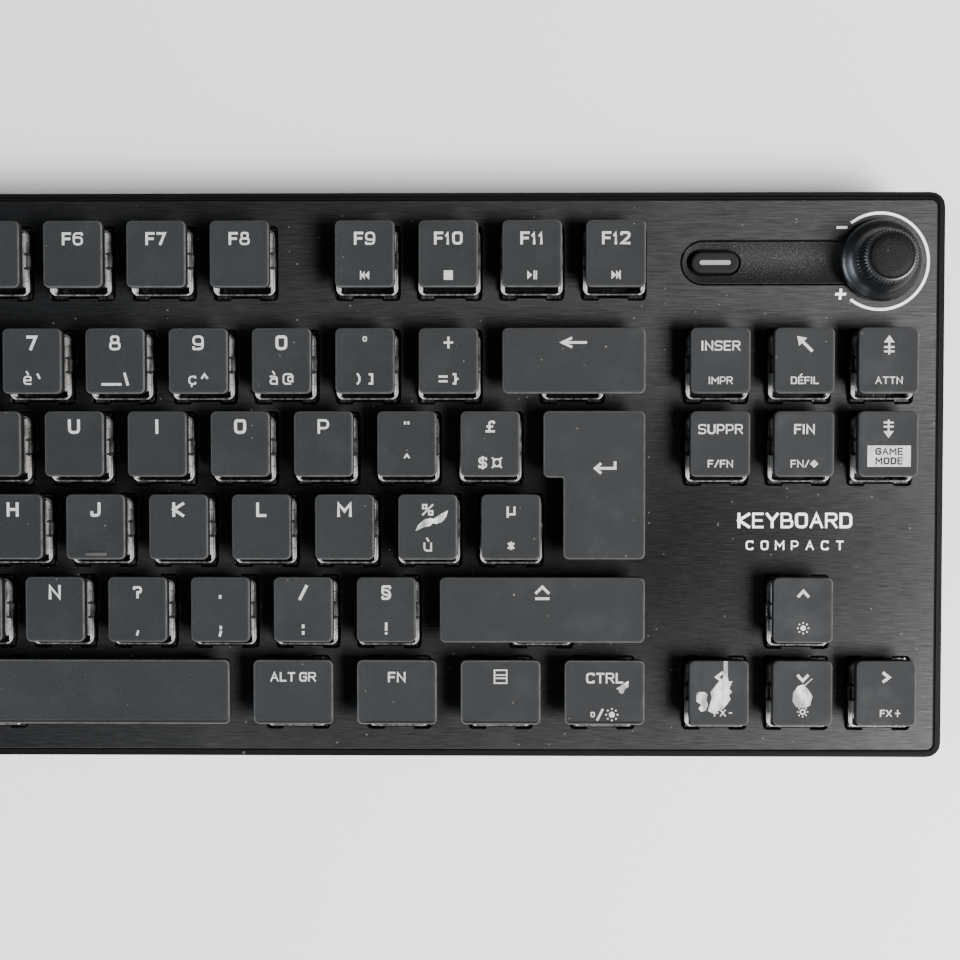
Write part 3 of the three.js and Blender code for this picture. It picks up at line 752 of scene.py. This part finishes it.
# Each key: name, node, row, first unit, width in units, legend.
KEYS = [
    one("escape", 0, 0, 1, "ÉCHAP@@1.9"),
    *spread(0, 2, ["f1", "f2", "f3", "f4"], "f1_to_f4"),
    *spread(0, 6.5, ["f5", "f6", "f7", "f8"], "f5_to_f8"),
    *spread(0, 11, ["f9=F9|{rewind}", "f10=F10|{stop}@@2.15", "f11=F11|{play}", "f12=F12|{next}"],
            "f9_to_f12"),
    one("square", 1, 0, 1, "²"),
    *spread(1, 1, ["1=1|&", "2=2|é ~", "3=3|\" #", "4=4|' {", "5=5|( [", "6=6|- |"], "digits_left"),
    *spread(1, 7, ["7=7|è `", "8=8|_\\@@3", "9=9|ç ^", "0=0|à @", "paren={ring}@@2.6@@0.17|)  ]",
                   "equal=+@@2.7|= }"], "digits_right"),
    one("backspace", 1, 13, 2, "{back}@@3.1"),
    one("insert", 1, 15.25, 1, "INSER@@2.25@@0.275|IMPR@@1.7@@0.8"),
    one("home", 1, 16.25, 1, "{home}@@3.6@@0.25|DÉFIL@@1.7@@0.8"),
    one("page_up", 1, 17.25, 1, "{up_page}@@4.4@@0.265|ATTN@@1.7@@0.8"),
    one("tab", 2, 0, 1.5, "{tab}@@3.2"),
    *spread(2, 1.5, ["a", "z", "e=E|€@@2.6", "r", "t", "y"], "upper_left"),
    *spread(2, 7.5, ["u", "i", "o", "p", "accent=¨@@2.5@@0.24|^@@2.2@@0.72", "pound=£@@2.7|$ ¤"],
            "upper_right"),
    one("delete", 2, 15.25, 1, "SUPPR@@2.25@@0.275|F/FN@@1.75@@0.8"),
    one("end", 2, 16.25, 1, "FIN@@2.3@@0.275|FN/{system}@@1.75@@0.8"),
    one("page_down", 2, 17.25, 1, "{down_page}@@4.2@@0.27"),
    one("caps_lock", 3, 0, 1.75, "{lock}@@3.3"),
    *spread(3, 1.75, ["q", "s", "d", "f", "g", "h"], "home_left"),
    *spread(3, 7.75, ["j", "k", "l", "m", "percent=%@@2.6|ù@@2.6", "star=µ@@2.6|*@@2.4"],
            "home_right"),
    one("shift_left", 4, 0, 1.25, "{shift}@@3.3"),
    *spread(4, 1.25, ["angle=>@@2.8|<@@2.8", "w", "x", "c", "v", "b"], "lower_left"),
    *spread(4, 7.25, ["n", "comma=?@@2.8|,", "dot=.@@3|;@@2.8", "slash=/@@3.5|:@@3", "bang=§|!@@2.8"],
            "lower_right"),
    one("shift_right", 4, 12.25, 2.75, "{shift}@@3.3"),
    one("up", 4, 16.25, 1, "{up}@@2.5@@0.25|{sun}@@2.5@@0.77"),
    one("control_left", 5, 0, 1.25, "CTRL@@2.4"),
    one("system", 5, 1.25, 1.25, "{system}@@3.2"),
    one("alt_left", 5, 2.5, 1.25, "ALT@@2.3"),
    one("space", 5, 3.75, 6.25, ""),
    one("alt_right", 5, 10, 1.25, "ALT GR@@2.2"),
    one("function", 5, 11.25, 1.25, "FN@@2.4"),
    one("menu", 5, 12.5, 1.25, "{menu}@@3.3@@0.25"),
    one("control_right", 5, 13.75, 1.25, "CTRL@@2.45@@0.27|{ring}/{sun}@@2.7@@0.83"),
    one("left", 5, 15.25, 1, "{left}@@2.5@@0.25|FX -@@1.6@@0.8@@0.9"),
    one("down", 5, 16.25, 1, "{down}@@2.5@@0.26|{ring_sun}@@2.3@@0.78"),
    one("right", 5, 17.25, 1, "{right}@@2.5@@0.25|FX +@@1.6@@0.8@@0.9"),
]
ENTER_SHAPE = (13.5, 13.75, 15)
ENTER_X = edge_x((ENTER_SHAPE[1] + ENTER_SHAPE[2]) / 2)
ENTER_Y = (ROW_Y[2] + ROW_Y[3]) / 2
ENTER_REAR, ENTER_GUIDE, ENTER_TOP = 7.35, 11.5, 8.96
STABILISED = {"backspace": 11.5, "shift_right": 11.5, "space": 50}

# Rubbed-through patches: outlines in mm from the cap's middle, y down from its rear edge.
PATCHES = {
    "left": [
        "1 .1 1.9 .1 1.9 3.7 2.1 4.7 3 4.7 2.3 6.4 2.9 7.2 2.2 7.9 2.6 8.9 1.8 10 .8 11.2 -.3 11.6"
        " -1.5 12.1 -2.6 11.5 -2.2 10.3 -1.7 8.6 -2 7.2 -1 5.9 0 4.7 .8 4 1 2.3",
        "-5.2 7.9 -4.7 7.2 -3.4 7.2 -2.7 7.7 -2.9 8.9 -2.6 10.3 -3.1 11.5 -4.1 11.7 -4.7 11 -4.1 10.1"
        " -5.2 9.4",
    ],
    "down": [
        ".1 5.4 1.1 6.4 1.7 7.2 2.2 8.2 1.9 9.2 1.7 10.3 .3 10.8 -1.5 10.6 -2.3 9.3 -2.2 7.3 -1.1 5.8",
        "2 4 2.3 4.1 .6 5.7 .2 5.6",
    ],
    "control_right": ["2.6 6.5 4 5.6 4.7 5.1 5.5 4.7 5.4 6.1 4.7 6.5 4.2 7.7 3.3 7.4 3.3 6.8"],
    "percent": [
        "-2.8 8.4 -2.2 7 -.8 5.8 .6 5.4 1.4 5.6 3 4.5 4.6 3.7 4.3 4.9 4 5.4 3.3 6.3 2 6.8 1.2 6.6 .6 7.2"
        " -.8 7.5"
    ],
}
DISH = 0.13


def dished(inset):
    """Height of a cap's top at a distance from its edge: a hollow that levels out 4.6 mm inwards."""
    t = np.clip(inset / 4.6, 0, 1)
    return CAP_TOP - DISH * (1 - (1 - t) ** 2)


def cap_rings(x0, x1, y0, y1, low_front):
    """Rings up a cap: the hollow, the rim, the sides, the bevel, and the dished top.

    Each step: inset, height, wear and painted highlight, painted shade.  low_front pulls the top back
    from the front edge over a scooped band in painted shade, and leaves a thin lip with a painted highlight
    along that edge: front inset, height, painted shade for each step.
    """
    steps = [
        (1.5, 7.9, 0, 1), (1.1, 7.6, 0, 1), (1.05, 6, 0, 1), (0.18, 6, 0, 1), (0.05, 6.12, 0, 1),
        (0, 6.6, 0, 0.9), (0, 8, 0, 0.6), (0, 8.5, 0.2, 0.2), (0.03, 8.74, 0.8, 0),
        (0.11, 8.9, 1, 0), (0.25, 8.98, 0.5, 0), (0.5, 9, 0, 0),
    ]
    front = [
        (1.5, 7.9, 1), (1.1, 7.6, 1), (1.05, 6, 1), (0.18, 6, 1), (0.05, 6.12, 1), (0, 6.6, 0.9),
        (0, 7.7, 0.3), (0.06, 7.95, 0), (0.24, 8.05, 0), (0.4, 8.08, 1), (0.9, 8.45, 1), (1.2, 8.95, 0.1),
    ]
    lip = (7, 8)
    hx, hy = (x1 - x0) / 2, (y1 - y0) / 2

    def level(inset, front_inset, z, radius):
        middle = ((x0 + x1) / 2, (y0 + y1) / 2 + (front_inset - inset) / 2)
        return ring(hx - inset, hy - (inset + front_inset) / 2, radius, z, middle, 5, 2)

    rings, worn, shade = [], [], []
    for k, (inset, z, w, s) in enumerate(steps):
        front_inset, low, band = front[k] if low_front else (inset, z, s)
        r = level(inset, front_inset, z, max(1.3 - inset * 0.8, 0.4))
        if low_front:
            # Along the front, the lip gets a painted highlight and the scooped band painted shade.
            near = np.clip((y0 + front_inset + 0.9 - r[:, 1]) / 0.9, 0, 1)
            r[:, 2] += (low - z) * near**0.7
            worn.append(w * (1 - near) + (k in lip) * near)
            shade.append(s * (1 - near) + band * near)
        else:
            # The painted highlight grows towards the front and right edges, the sides facing the light.
            edge = np.maximum(y0 + 0.9 - r[:, 1], r[:, 0] - x1 + 0.9) / 0.9
            worn.append(w * (0.45 + 0.55 * np.clip(edge, 0, 1)))
            shade.append(np.full(len(r), float(s)))
        rings.append(r)
    extra = 0.7 if low_front else 0
    for inset in (1.3, 2.2, 3.3, 4.6):
        rings.append(level(inset, inset + extra, dished(inset), max(1.3 - inset * 0.4, 0.3)))
    plain = np.zeros(4 * len(r))
    return rings, np.concatenate([*worn, plain]), np.concatenate([*shade, plain])


def cap_surface(x0, x1, y0, y1):
    """Height of the dished top over x and y."""
    return lambda x, y: dished(np.minimum.reduce([x - x0, x1 - x, y - y0, y1 - y]))


def stem(shape, x, y):
    """The cross that joins cap and switch, with the collar around it."""
    # The stem and collar are darkened with painted shade, as they sit under the cap.
    shape.block(x - 3.2, x + 3.2, y - 0.65, y + 0.65, 0.5, 8, shade=0.8)
    shape.block(x - 0.65, x + 0.65, y - 2.2, y + 2.2, 0.5, 7.99, shade=0.8)
    rings = [circle(r, z, (x, y), 20) for r, z in ((2.6, 4.4), (2.6, 7.95), (2.1, 7.95), (2.1, 4.4))]
    shape.loft(rings[::-1], closed=True, shade=0.8)


def finish_key(shape, name, node, tone):
    shape.layers["tone"] = [np.full(shape.count, tone)]
    piece = shape.build("cap_" + name, [CAP_PLASTIC, PRINT, BARE], sharp=50)
    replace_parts(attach(piece, node), node)


def make_key(name, node, row, u, w, text, tone):
    depth = 15.2 if row == 0 else 15
    x0, x1 = edge_x(u) + CAP_MARGIN / 2, edge_x(u + w) - CAP_MARGIN / 2
    y1 = ROW_Y[row] + CAP_SHIFT + depth / 2 - CAP_SETBACK[row]
    y0 = y1 - depth
    shape = Shape()
    low_front = row == 5 and w > 1
    rings, worn, shade = cap_rings(x0, x1, y0, y1, low_front)
    shape.loft(rings, worn=worn, shade=shade)
    x, y = (x0 + x1) / 2, (y0 + y1) / 2
    middle_y = ROW_Y[row] + CAP_SHIFT
    stem(shape, x, middle_y)
    for side in (-1, 1) if name in STABILISED else ():
        gx = x + side * STABILISED[name]
        # Stabiliser guides darkened with painted shade under the cap.
        shape.block(gx - 1.3, gx + 1.3, middle_y - 2.3, middle_y + 2.3, -1.2, 8, shade=0.8)
    surface = cap_surface(x0, x1, y0, y1)
    for line, height, share, offset in legends(row, text):
        weight = 0.195 if height > 2.75 else 0.185 if height > 2 else 0.17
        place = (x + offset, y1 - share * depth)
        add_print(shape, lettering(line, height, weight), place, surface, 1, 0.09 if low_front else 0.02)
    for outline in PATCHES.get(name, ()):
        p = np.array([float(v) for v in outline.split()]).reshape(-1, 2) * [1, -1]
        add_print(shape, [p], (x, y1), surface, 2, 0.025)
    if name in ("f", "j"):
        # The homing bar: lighter by wear and by a painted highlight.
        low, high = CAP_TOP - 0.4, CAP_TOP + 0.22
        shape.block(x - 2.55, x + 2.55, y0 + 0.9, y0 + 1.7, low, high, 0, 0.25, worn=0.5)
    if name == "page_down":
        box = np.array([[-4.9, -2.4], [4.9, -2.4], [4.9, 2.4], [-4.9, 2.4]])
        middle = np.array([x + 0.15, y1 - 0.685 * depth])
        add_print(shape, [box], middle, surface, 1)
        for k, line in enumerate(("GAME", "MODE")):
            words = lettering(line, 1.65, 0.23)
            add_print(shape, words, middle + [0, 1.08 - 2.16 * k], surface, 0, 0.045)
    finish_key(shape, name, node, tone)


def enter_ring(inset, z):
    """The return key's outline: wide in its rear half and narrower in front, corners rounded."""
    upper, lower, right = (edge_x(u) for u in ENTER_SHAPE)
    upper, lower, right = upper + 2.6 + inset, lower + 2.4 + inset, right - 2.75 - inset
    rear = ROW_Y[2] + CAP_SHIFT + ENTER_REAR - inset
    step = ROW_Y[2] + CAP_SHIFT - 7.9 + inset
    front = ROW_Y[3] + CAP_SHIFT - 7.55 + inset
    corners = [
        (right, front, -1, 1, 0), (right, rear, -1, -1, 0), (upper, rear, 1, -1, 0),
        (upper, step, 1, 1, 0), (lower, step, -1, -1, 1), (lower, front, 1, 1, 0),
    ]
    starts = (-90, 0, 90, 180, 90, 180)
    soft = max(1.3 - inset * 0.8, 0.35)
    out = []
    for (x, y, sx, sy, inner), start in zip(corners, starts):
        r = 0.5 + inset * 0.2 if inner else soft
        angles = np.radians(np.linspace(start, start + (-90 if inner else 90), 6))
        out.append([x + sx * r, y + sy * r] + r * around(angles))
    return lifted(np.concatenate(out), z)


def make_enter(tone):
    """The two-row return key, with the same section as the other caps."""
    # Each step: inset, height, wear and painted highlight, painted shade.
    steps = [
        (1.5, 7.9, 0, 1), (1.1, 7.6, 0, 1), (1.05, 6, 0, 1), (0.18, 6, 0, 1), (0.05, 6.12, 0, 0.9),
        (0, 6.6, 0, 0.9), (0, 8, 0, 0.6), (0, 8.5, 0.2, 0.2), (0.03, 8.74, 0.6, 0),
        (0.11, 8.9, 0.8, 0), (0.25, 8.98, 0.4, 0), (0.5, 9, 0, 0), (1.4, ENTER_TOP, 0, 0),
    ]
    rings = [enter_ring(i, z) for i, z, _, _ in steps]
    worn, shade = (np.repeat([float(s[k]) for s in steps], len(rings[0])) for k in (2, 3))
    shape = Shape()
    shape.loft(rings, last=False, worn=worn, shade=shade)
    points, faces = fill([rings[-1][:, :2]])
    shape.add(lifted(points, ENTER_TOP), faces)
    x, y = ENTER_X, ENTER_Y + CAP_SHIFT
    stem(shape, x, y)
    for side in (-1, 1):
        gy = y + side * ENTER_GUIDE
        # Guides darkened with painted shade under the cap.
        shape.block(x - 2.3, x + 2.3, gy - 1.3, gy + 1.3, -1, 8, shade=0.8)
    sign = lettering("{enter}", 3.2, 0.2)
    rear = ROW_Y[2] + CAP_SHIFT + ENTER_REAR
    add_print(shape, sign, (x, rear - 13.1), ENTER_TOP, 1)
    finish_key(shape, "enter", "key_enter", tone)


# --- switches and plate

SWITCHES = [(edge_x(u + w / 2), ROW_Y[row]) for _, _, row, u, w, _ in KEYS]
SWITCHES.append((ENTER_X, ENTER_Y))
GUIDES = [
    (edge_x(u + w / 2) + side * STABILISED[name], ROW_Y[row])
    for name, _, row, u, w, _ in KEYS
    if name in STABILISED
    for side in (-1, 1)
]
GUIDE_SHIFT, ENTER_FRAME = 1.05, 12.1


def add_switch(shape, x, y):
    """A clear housing: rim, floor, tower with a well for the stem, and a latch on each side; painted light
    brightens its front and sides, and dark bars of painted shade sit at each latch's ends.
    """
    rim = [
        (7.2, 7.7, 1.7, -6.2), (7.2, 7.7, 1.7, 1.7), (7.12, 7.62, 1.6, 2), (6.85, 7.38, 1.4, 2),
        (6.72, 7.26, 1.3, 1.85), (6.66, 7.2, 1.25, -3.5),
    ]
    rings = rings_at(rim, (x, y - 0.4), 4, 1)
    # Painted light on the rim: brighter towards the housing's front, where light falls.
    front = np.clip((y - rings[0][:, 1]) / 7, 0, 1)
    strip = (front > 0.9) & (np.abs(rings[0][:, 0] - x) < 5.6)
    edge = np.where(strip, 0.34, 0.3 + 0.5 * front)
    shape.loft(rings, 0, glow=np.concatenate([edge * k for k in (0, 0.1, 1, 1, 0.7, 0)]))
    inner = [
        (6.25, 6.5, 0.6, -3.6), (6.25, 6.5, 0.6, 1.9), (6.1, 6.35, 0.5, 2.1), (5.55, 5.65, 0.4, 2.2),
        (5.4, 5.6, 0.4, 4), (5.2, 5.45, 0.4, 4.2),
    ]
    rings = rings_at(inner, (x, y + 0.3))
    rings += rings_at([(3.55, 2.9, 0.6, 4.2), (3.55, 2.9, 0.6, -3.4)], (x, y + CAP_SHIFT))
    # Painted light on the inner walls, brighter on the left and right sides.
    side_on = np.abs(rings[0][:, 0] - x) > 6
    levels = (0, 0.6, 0.55, 0.3, 0.2, 0.1, 0.1, 0)
    shape.loft(rings, 0, glow=np.concatenate([np.where(side_on, k, 0.1) for k in levels]))
    for side in (-1, 1):
        a, b = x + side * 6.2, x + side * 6.75
        for low, high, glow in ((-7.3, -4.6, 1), (-4.5, -2, 0.8), (2, 4.4, 0.45), (4.5, 6.8, 0.55)):
            shape.block(a, b, y + low, y + high, -1, 1.8, 0, 0.1, glow=glow)
        a, b = x + side * 5.9, x + side * 7.26
        # Dark bars of painted shade in the gaps at each latch's ends.
        for end in (-1, 1):
            shape.block(a, b, y + end * 1.65 - 0.24, y + end * 1.65 + 0.24, 0.7, 2.25, 1, 0.05)
        shape.block(a, b, y - 1.35, y + 1.35, 0.7, 1.9, 0, 0.12, glow=0.3)
        for end, reach in ((-1, 8.7), (1, 7.9)):
            c = x + side * 5.2
            shape.block(c - 1.7, c + 1.7, y + end * 7.2, y + end * reach, -1.9, -0.5, 0, 0.2, glow=0.12)


def switch_hole(x, y):
    """The cut-out for one housing: a rounded rectangle with a lobe at each corner."""
    out = []
    for sx, sy in ((1, -1), (1, 1), (-1, 1), (-1, -1)):
        straight, lobe = (8.4, 8.95) if sy < 0 else (7.6, 8.15)
        corner = [
            (3.3, straight), (3.45, straight + 0.12), (3.5, lobe - 0.15), (3.7, lobe), (6.6, lobe),
            (7.1, lobe - 0.18), (7.42, lobe - 0.6), (7.5, lobe - 1.3),
        ]
        points = [(x + sx * a, y + sy * b) for a, b in corner]
        out += points if sx * sy < 0 else points[::-1]
    return np.array(out)


def pill(x0, x1, y, half, steps=14):
    """A stadium outline from x0 to x1, counter-clockwise."""
    bend = half * around(np.radians(np.linspace(-90, 90, steps)))
    return np.concatenate([[x1 - half, y] + bend, [x0 + half, y] - bend])


def make_plate():
    outer = ring(177.4, 64.15, 1.6, 0, (0, 50.25), 5, 0)[:, :2]
    holes = [switch_hole(x, y) for x, y in SWITCHES]
    holes += [ring(3.3, 5.55, 0.6, 0, (x, y + GUIDE_SHIFT), 2, 0)[:, :2] for x, y in GUIDES]
    for side in (-1, 1):
        holes.append(ring(5.4, 2.95, 0.6, 0, (ENTER_X, ENTER_Y + side * ENTER_FRAME), 2, 0)[:, :2])
    holes.append(pill(INLAY_LEFT - 0.25, INLAY_RIGHT + 0.25, BUTTON[1], INLAY_HALF + 0.25))
    shape = sheet_with_holes(outer, holes, 0, -1.5, 0.22)
    piece = shape.build("plate_brushed", [plate_finish()], sharp=20)
    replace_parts(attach(piece, "chassis"), "top_plate")


def make_switches():
    shape = Shape()
    for x, y in SWITCHES:
        add_switch(shape, x, y)
    frames = [(x, y + GUIDE_SHIFT, 3, 5.25, 1.6, 2.6) for x, y in GUIDES]
    frames += [(ENTER_X, ENTER_Y + s * ENTER_FRAME, 5.1, 2.7, 2.6, 1.6) for s in (-1, 1)]
    for x, y, a, b, c, d in frames:
        rows = [
            (a, b, 0.5, -0.9), (a, b, 0.5, 3.4), (a - 0.15, b - 0.15, 0.4, 3.6), (c, d, 0.3, 3.6),
            (c, d, 0.3, -0.9),
        ]
        # Frames brightened evenly with painted light.
        shape.loft(rings_at(rows, (x, y)), 0, closed=True, glow=0.3)
    # Painted shade for the dark gaps at the ends of each latch.
    dark = plain_finish("latch_shadow", grey(0.003), grey(0.008), 0.6)
    piece = shape.build("switches_clear", [clear_finish(), dark], sharp=30)
    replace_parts(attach(piece, "chassis"), "switch_housings")


# --- case edge and controls


def make_edge():
    """The case's rounded upper edge: outer wall, sloping band, lip, and the groove to the plate."""
    profile = [
        (-0.04, -2.6), (-0.04, -1.5), (0.12, -1.15), (0.45, -0.92), (1, -0.7), (1.28, -0.62), (1.45, -0.72),
        (1.52, -1.1), (1.52, -2.6),
    ]
    middle = (0, (CASE_FRONT + CASE_REAR) / 2)
    half_y = (CASE_REAR - CASE_FRONT) / 2
    rings = [ring(CASE_HALF - i, half_y - i, 3.3 - i, z, middle, 8, 2) for i, z in profile]
    shape = Shape()
    shape.loft(rings, closed=True)
    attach(shape.build("case_edge", [CASE], sharp=40), "chassis")


def make_inlay():
    y = BUTTON[1]
    outer = pill(INLAY_LEFT, INLAY_RIGHT, y, INLAY_HALF)
    slot_hole = pill(BUTTON[0] - 6.1, BUTTON[0] + 6.1, y, 2.95)
    knob_hole = circle(4, 0, KNOB, 32)[:, :2]

    def trough(points):
        """A shallow hollow along the recess: deepest on its middle line."""
        across = np.hypot(points[:, 1] - y, np.maximum(INLAY_LEFT + INLAY_HALF - points[:, 0], 0))
        return 1.9 * (1 - np.clip(across / INLAY_HALF, 0, 1) ** 2)

    shape = sheet_with_holes(outer, [slot_hole, knob_hole], -0.15, -3.4, 0.12, trough)
    piece = shape.build("control_recess", [grain_finish("recess_grain", 0.009, 2300, 0.5)], sharp=25)
    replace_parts(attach(piece, "chassis"), "control_inlay")
    collar = Shape()
    steps = ((0.02, -3.2), (0.02, -0.75), (-0.12, -0.65), (-0.22, -0.75), (-0.22, -3.2))
    collar.loft([lifted(grow(slot_hole, d), z) for d, z in steps], closed=True)
    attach(collar.build("button_collar", [CONTROL], sharp=40), "chassis")


def make_button():
    x, y = BUTTON
    shape = Shape()
    flat = pill(x - 5.6, x + 5.6, y, 2.5)
    steps = ((0, -4.2), (0, 0.2), (0.06, 0.42), (0.2, 0.6), (0.42, 0.69), (0.75, 0.7), (1.6, 0.66))
    shape.loft([lifted(grow(flat, -d), z) for d, z in steps])
    bar = [pill(-3.6, 3.6, 0, 0.53, 8)]
    add_print(shape, bar, (x, y), 0.67, 1, 0.03)
    piece = shape.build("button_mute", [CONTROL, BAR], sharp=40)
    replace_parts(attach(piece, "mute_button"), "mute_button")


def make_knob():
    """A turned profile with a flared skirt, fine teeth round the grip, and a domed grained top."""
    profile = [
        (2.6, -5.2), (2.6, 0.9), (9.2, 0.9), (9.45, 1.1), (9.5, 1.5), (9.42, 2), (9.1, 2.45), (8.5, 2.85),
        (7.7, 3.3), (7.1, 3.9), (6.7, 4.6), (6.45, 5), (6.3, 5.3), (6.25, 7), (6.2, 9), (6.1, 10.9),
        (5.9, 11.3), (5.5, 11.65), (5.15, 11.75), (5.05, 11.6), (4.95, 11.62), (4.85, 11.9), (4.65, 12.2),
        (4.2, 12.42), (3.4, 12.54), (2.2, 12.6), (1, 12.62), (0.3, 12.62),
    ]
    angle = np.linspace(0, 2 * math.pi, 288, endpoint=False)
    teeth = np.clip(1.6 * np.cos(angle * 48), -1, 1)
    shape = Shape()
    groups = []
    for r, z in profile:
        depth = 0.17 * float(5.2 < z < 11.2) + 0.08 * float(11.2 <= z < 11.5 and r > 5.4)
        groups.append(lifted(KNOB + (r + depth * teeth)[:, None] * around(angle), z))
    shape.loft(groups[:20], 0, last=False)
    shape.loft(groups[19:], 1, first=False)
    grained = grain_finish("knob_top_grain", 0.002, 2700, 0.4, 0.16)
    piece = shape.build("knob_volume", [KNOB_BLACK, grained], sharp=28)
    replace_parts(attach(piece, "volume_knob"), "volume_knob")


def make_printing():
    """White marks on the plate: the arc round the knob, its two signs, and a generic name."""
    shape = Shape()
    above = 0.015
    arc = list(11.15 * around(np.radians(np.linspace(-126, 126, 64))))
    add_print(shape, ribbon(arc, 0.62), KNOB, 0, 0, above)
    minus = [np.array([[-1.25, -0.3], [1.25, -0.3], [1.35, 0.3], [-1.15, 0.3]])]
    add_print(shape, minus, (155.2, 108), 0, 0, above)
    plus = minus + [np.array([[-0.42, -1.25], [0.18, -1.25], [0.42, 1.25], [-0.18, 1.25]])]
    add_print(shape, plus, (155, 92.6), 0, 0, above)
    add_print(shape, lettering("KEYBOARD", 3.6, 0.18), (144.8, 40), 0, 0, above)
    x = 144.8 - 10.5
    for letter in "COMPACT":
        add_print(shape, lettering(letter, 2.2, 0.17), (x, 34.2), 0, 0, above)
        x += 3.5
    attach(shape.build("plate_printing", [WHITE]), "chassis")


# --- put together

CAP_PLASTIC = keycap_finish()
PRINT = print_finish()
BARE = worn_finish()
CASE = case_finish()
CONTROL = case_finish("control_plastic", 0.009)
KNOB_BLACK = plain_finish("knob_black", grey(0.003, -0.2), grey(0.006, -0.2), 0.3, 900)
BAR = plain_finish("light_bar", grey(0.2), grey(0.26), 0.4, 900)
WHITE = plain_finish("plate_print", grey(0.8), grey(0.92), 0.45, 900)

tones = np.random.default_rng(11).uniform(0, 1, len(KEYS) + 1)
for key, tone in zip(KEYS, tones):
    make_key(*key, tone)
make_enter(tones[-1])
make_plate()
make_switches()
make_edge()
make_inlay()
make_button()
make_knob()
make_printing()

RUBBER = plain_finish("rubber", grey(0.012), grey(0.02), 0.8, 1200, bump=0.3)
SCREW = plain_finish("screw_steel", grey(0.1), grey(0.2), 0.3, 1500, 1)
WIRE = plain_finish("wire_steel", grey(0.5), grey(0.62), 0.2, 1500, 1)
BOARD = plain_finish("solder_mask", (0.008, 0.03, 0.018, 1), (0.012, 0.045, 0.028, 1), 0.35, 700)
METAL = plain_finish("socket_metal", grey(0.45), grey(0.6), 0.28, 1500, 1)
PLAIN_NODES = {
    "base_tray": CASE, "foot": CASE, "pad": RUBBER, "case_screw": SCREW, "wire": WIRE,
    "circuit_board": BOARD, "usb_socket": METAL, "encoder_body": METAL,
}
for node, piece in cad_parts.items():
    for start, material in PLAIN_NODES.items():
        if node.startswith(start):
            for k in range(len(piece.data.materials)):
                piece.data.materials[k] = material

# Camera: above the right part of the deck, leaning slightly; places in deck millimetres.
CAMERA_AT = (76.96, 62.26, 376.3)
YAW, PITCH_ANGLE, ROLL = -0.0149, -0.0341, -0.0002


# World from camera: the deck's tilt, then roll about z, yaw back about y, and pitch about x.
turn = Matrix.Rotation(TILT, 3, "X")
for angle, axis in ((ROLL, "Z"), (-YAW, "Y"), (PITCH_ANGLE, "X")):
    turn = turn @ Matrix.Rotation(angle, 3, axis)

camera = bpy.data.objects.new("camera", bpy.data.cameras.new("camera"))
link(camera)
camera.data.lens = 60.41
camera.data.sensor_width = 36
camera.data.clip_start = 0.01
camera.matrix_world = Matrix.Translation(Vector(deck(CAMERA_AT)[0])) @ turn.to_4x4()
bpy.context.scene.camera = camera


def lamp(name, at, aim, size, energy, tint=(1, 1, 1)):
    data = bpy.data.lights.new(name, "AREA")
    data.shape = "RECTANGLE"
    data.size, data.size_y = size
    data.energy = energy
    data.color = tint
    made = bpy.data.objects.new(name, data)
    made.location = at
    made.rotation_euler = (Vector(aim) - Vector(at)).to_track_quat("-Z", "Y").to_euler()
    link(made)


lamp("key_light", (0.8, -0.35, 1), (0.1, 0, 0), (0.6, 0.5), 50, (1, 0.975, 0.955))
lamp("side_light", (-1.3, -0.3, 0.55), (0, 0, 0), (1, 0.5), 26, (0.8, 0.9, 1))
lamp("front_light", (0.1, -1.3, 0.5), (0.1, 0, 0), (1.4, 0.4), 9)
world = bpy.data.worlds.new("room")
world.use_nodes = True
background = world.node_tree.nodes["Background"].inputs
background["Color"].default_value = (0.9, 0.92, 0.95, 1)
background["Strength"].default_value = 0.11
bpy.context.scene.world = world

desk = Shape()
desk.add([[-4, -4, 0], [4, -4, 0], [4, 4, 0], [-4, 4, 0]], [[0, 1, 2, 3]])
desk.build("desk", [desk_finish()], lambda p: p)
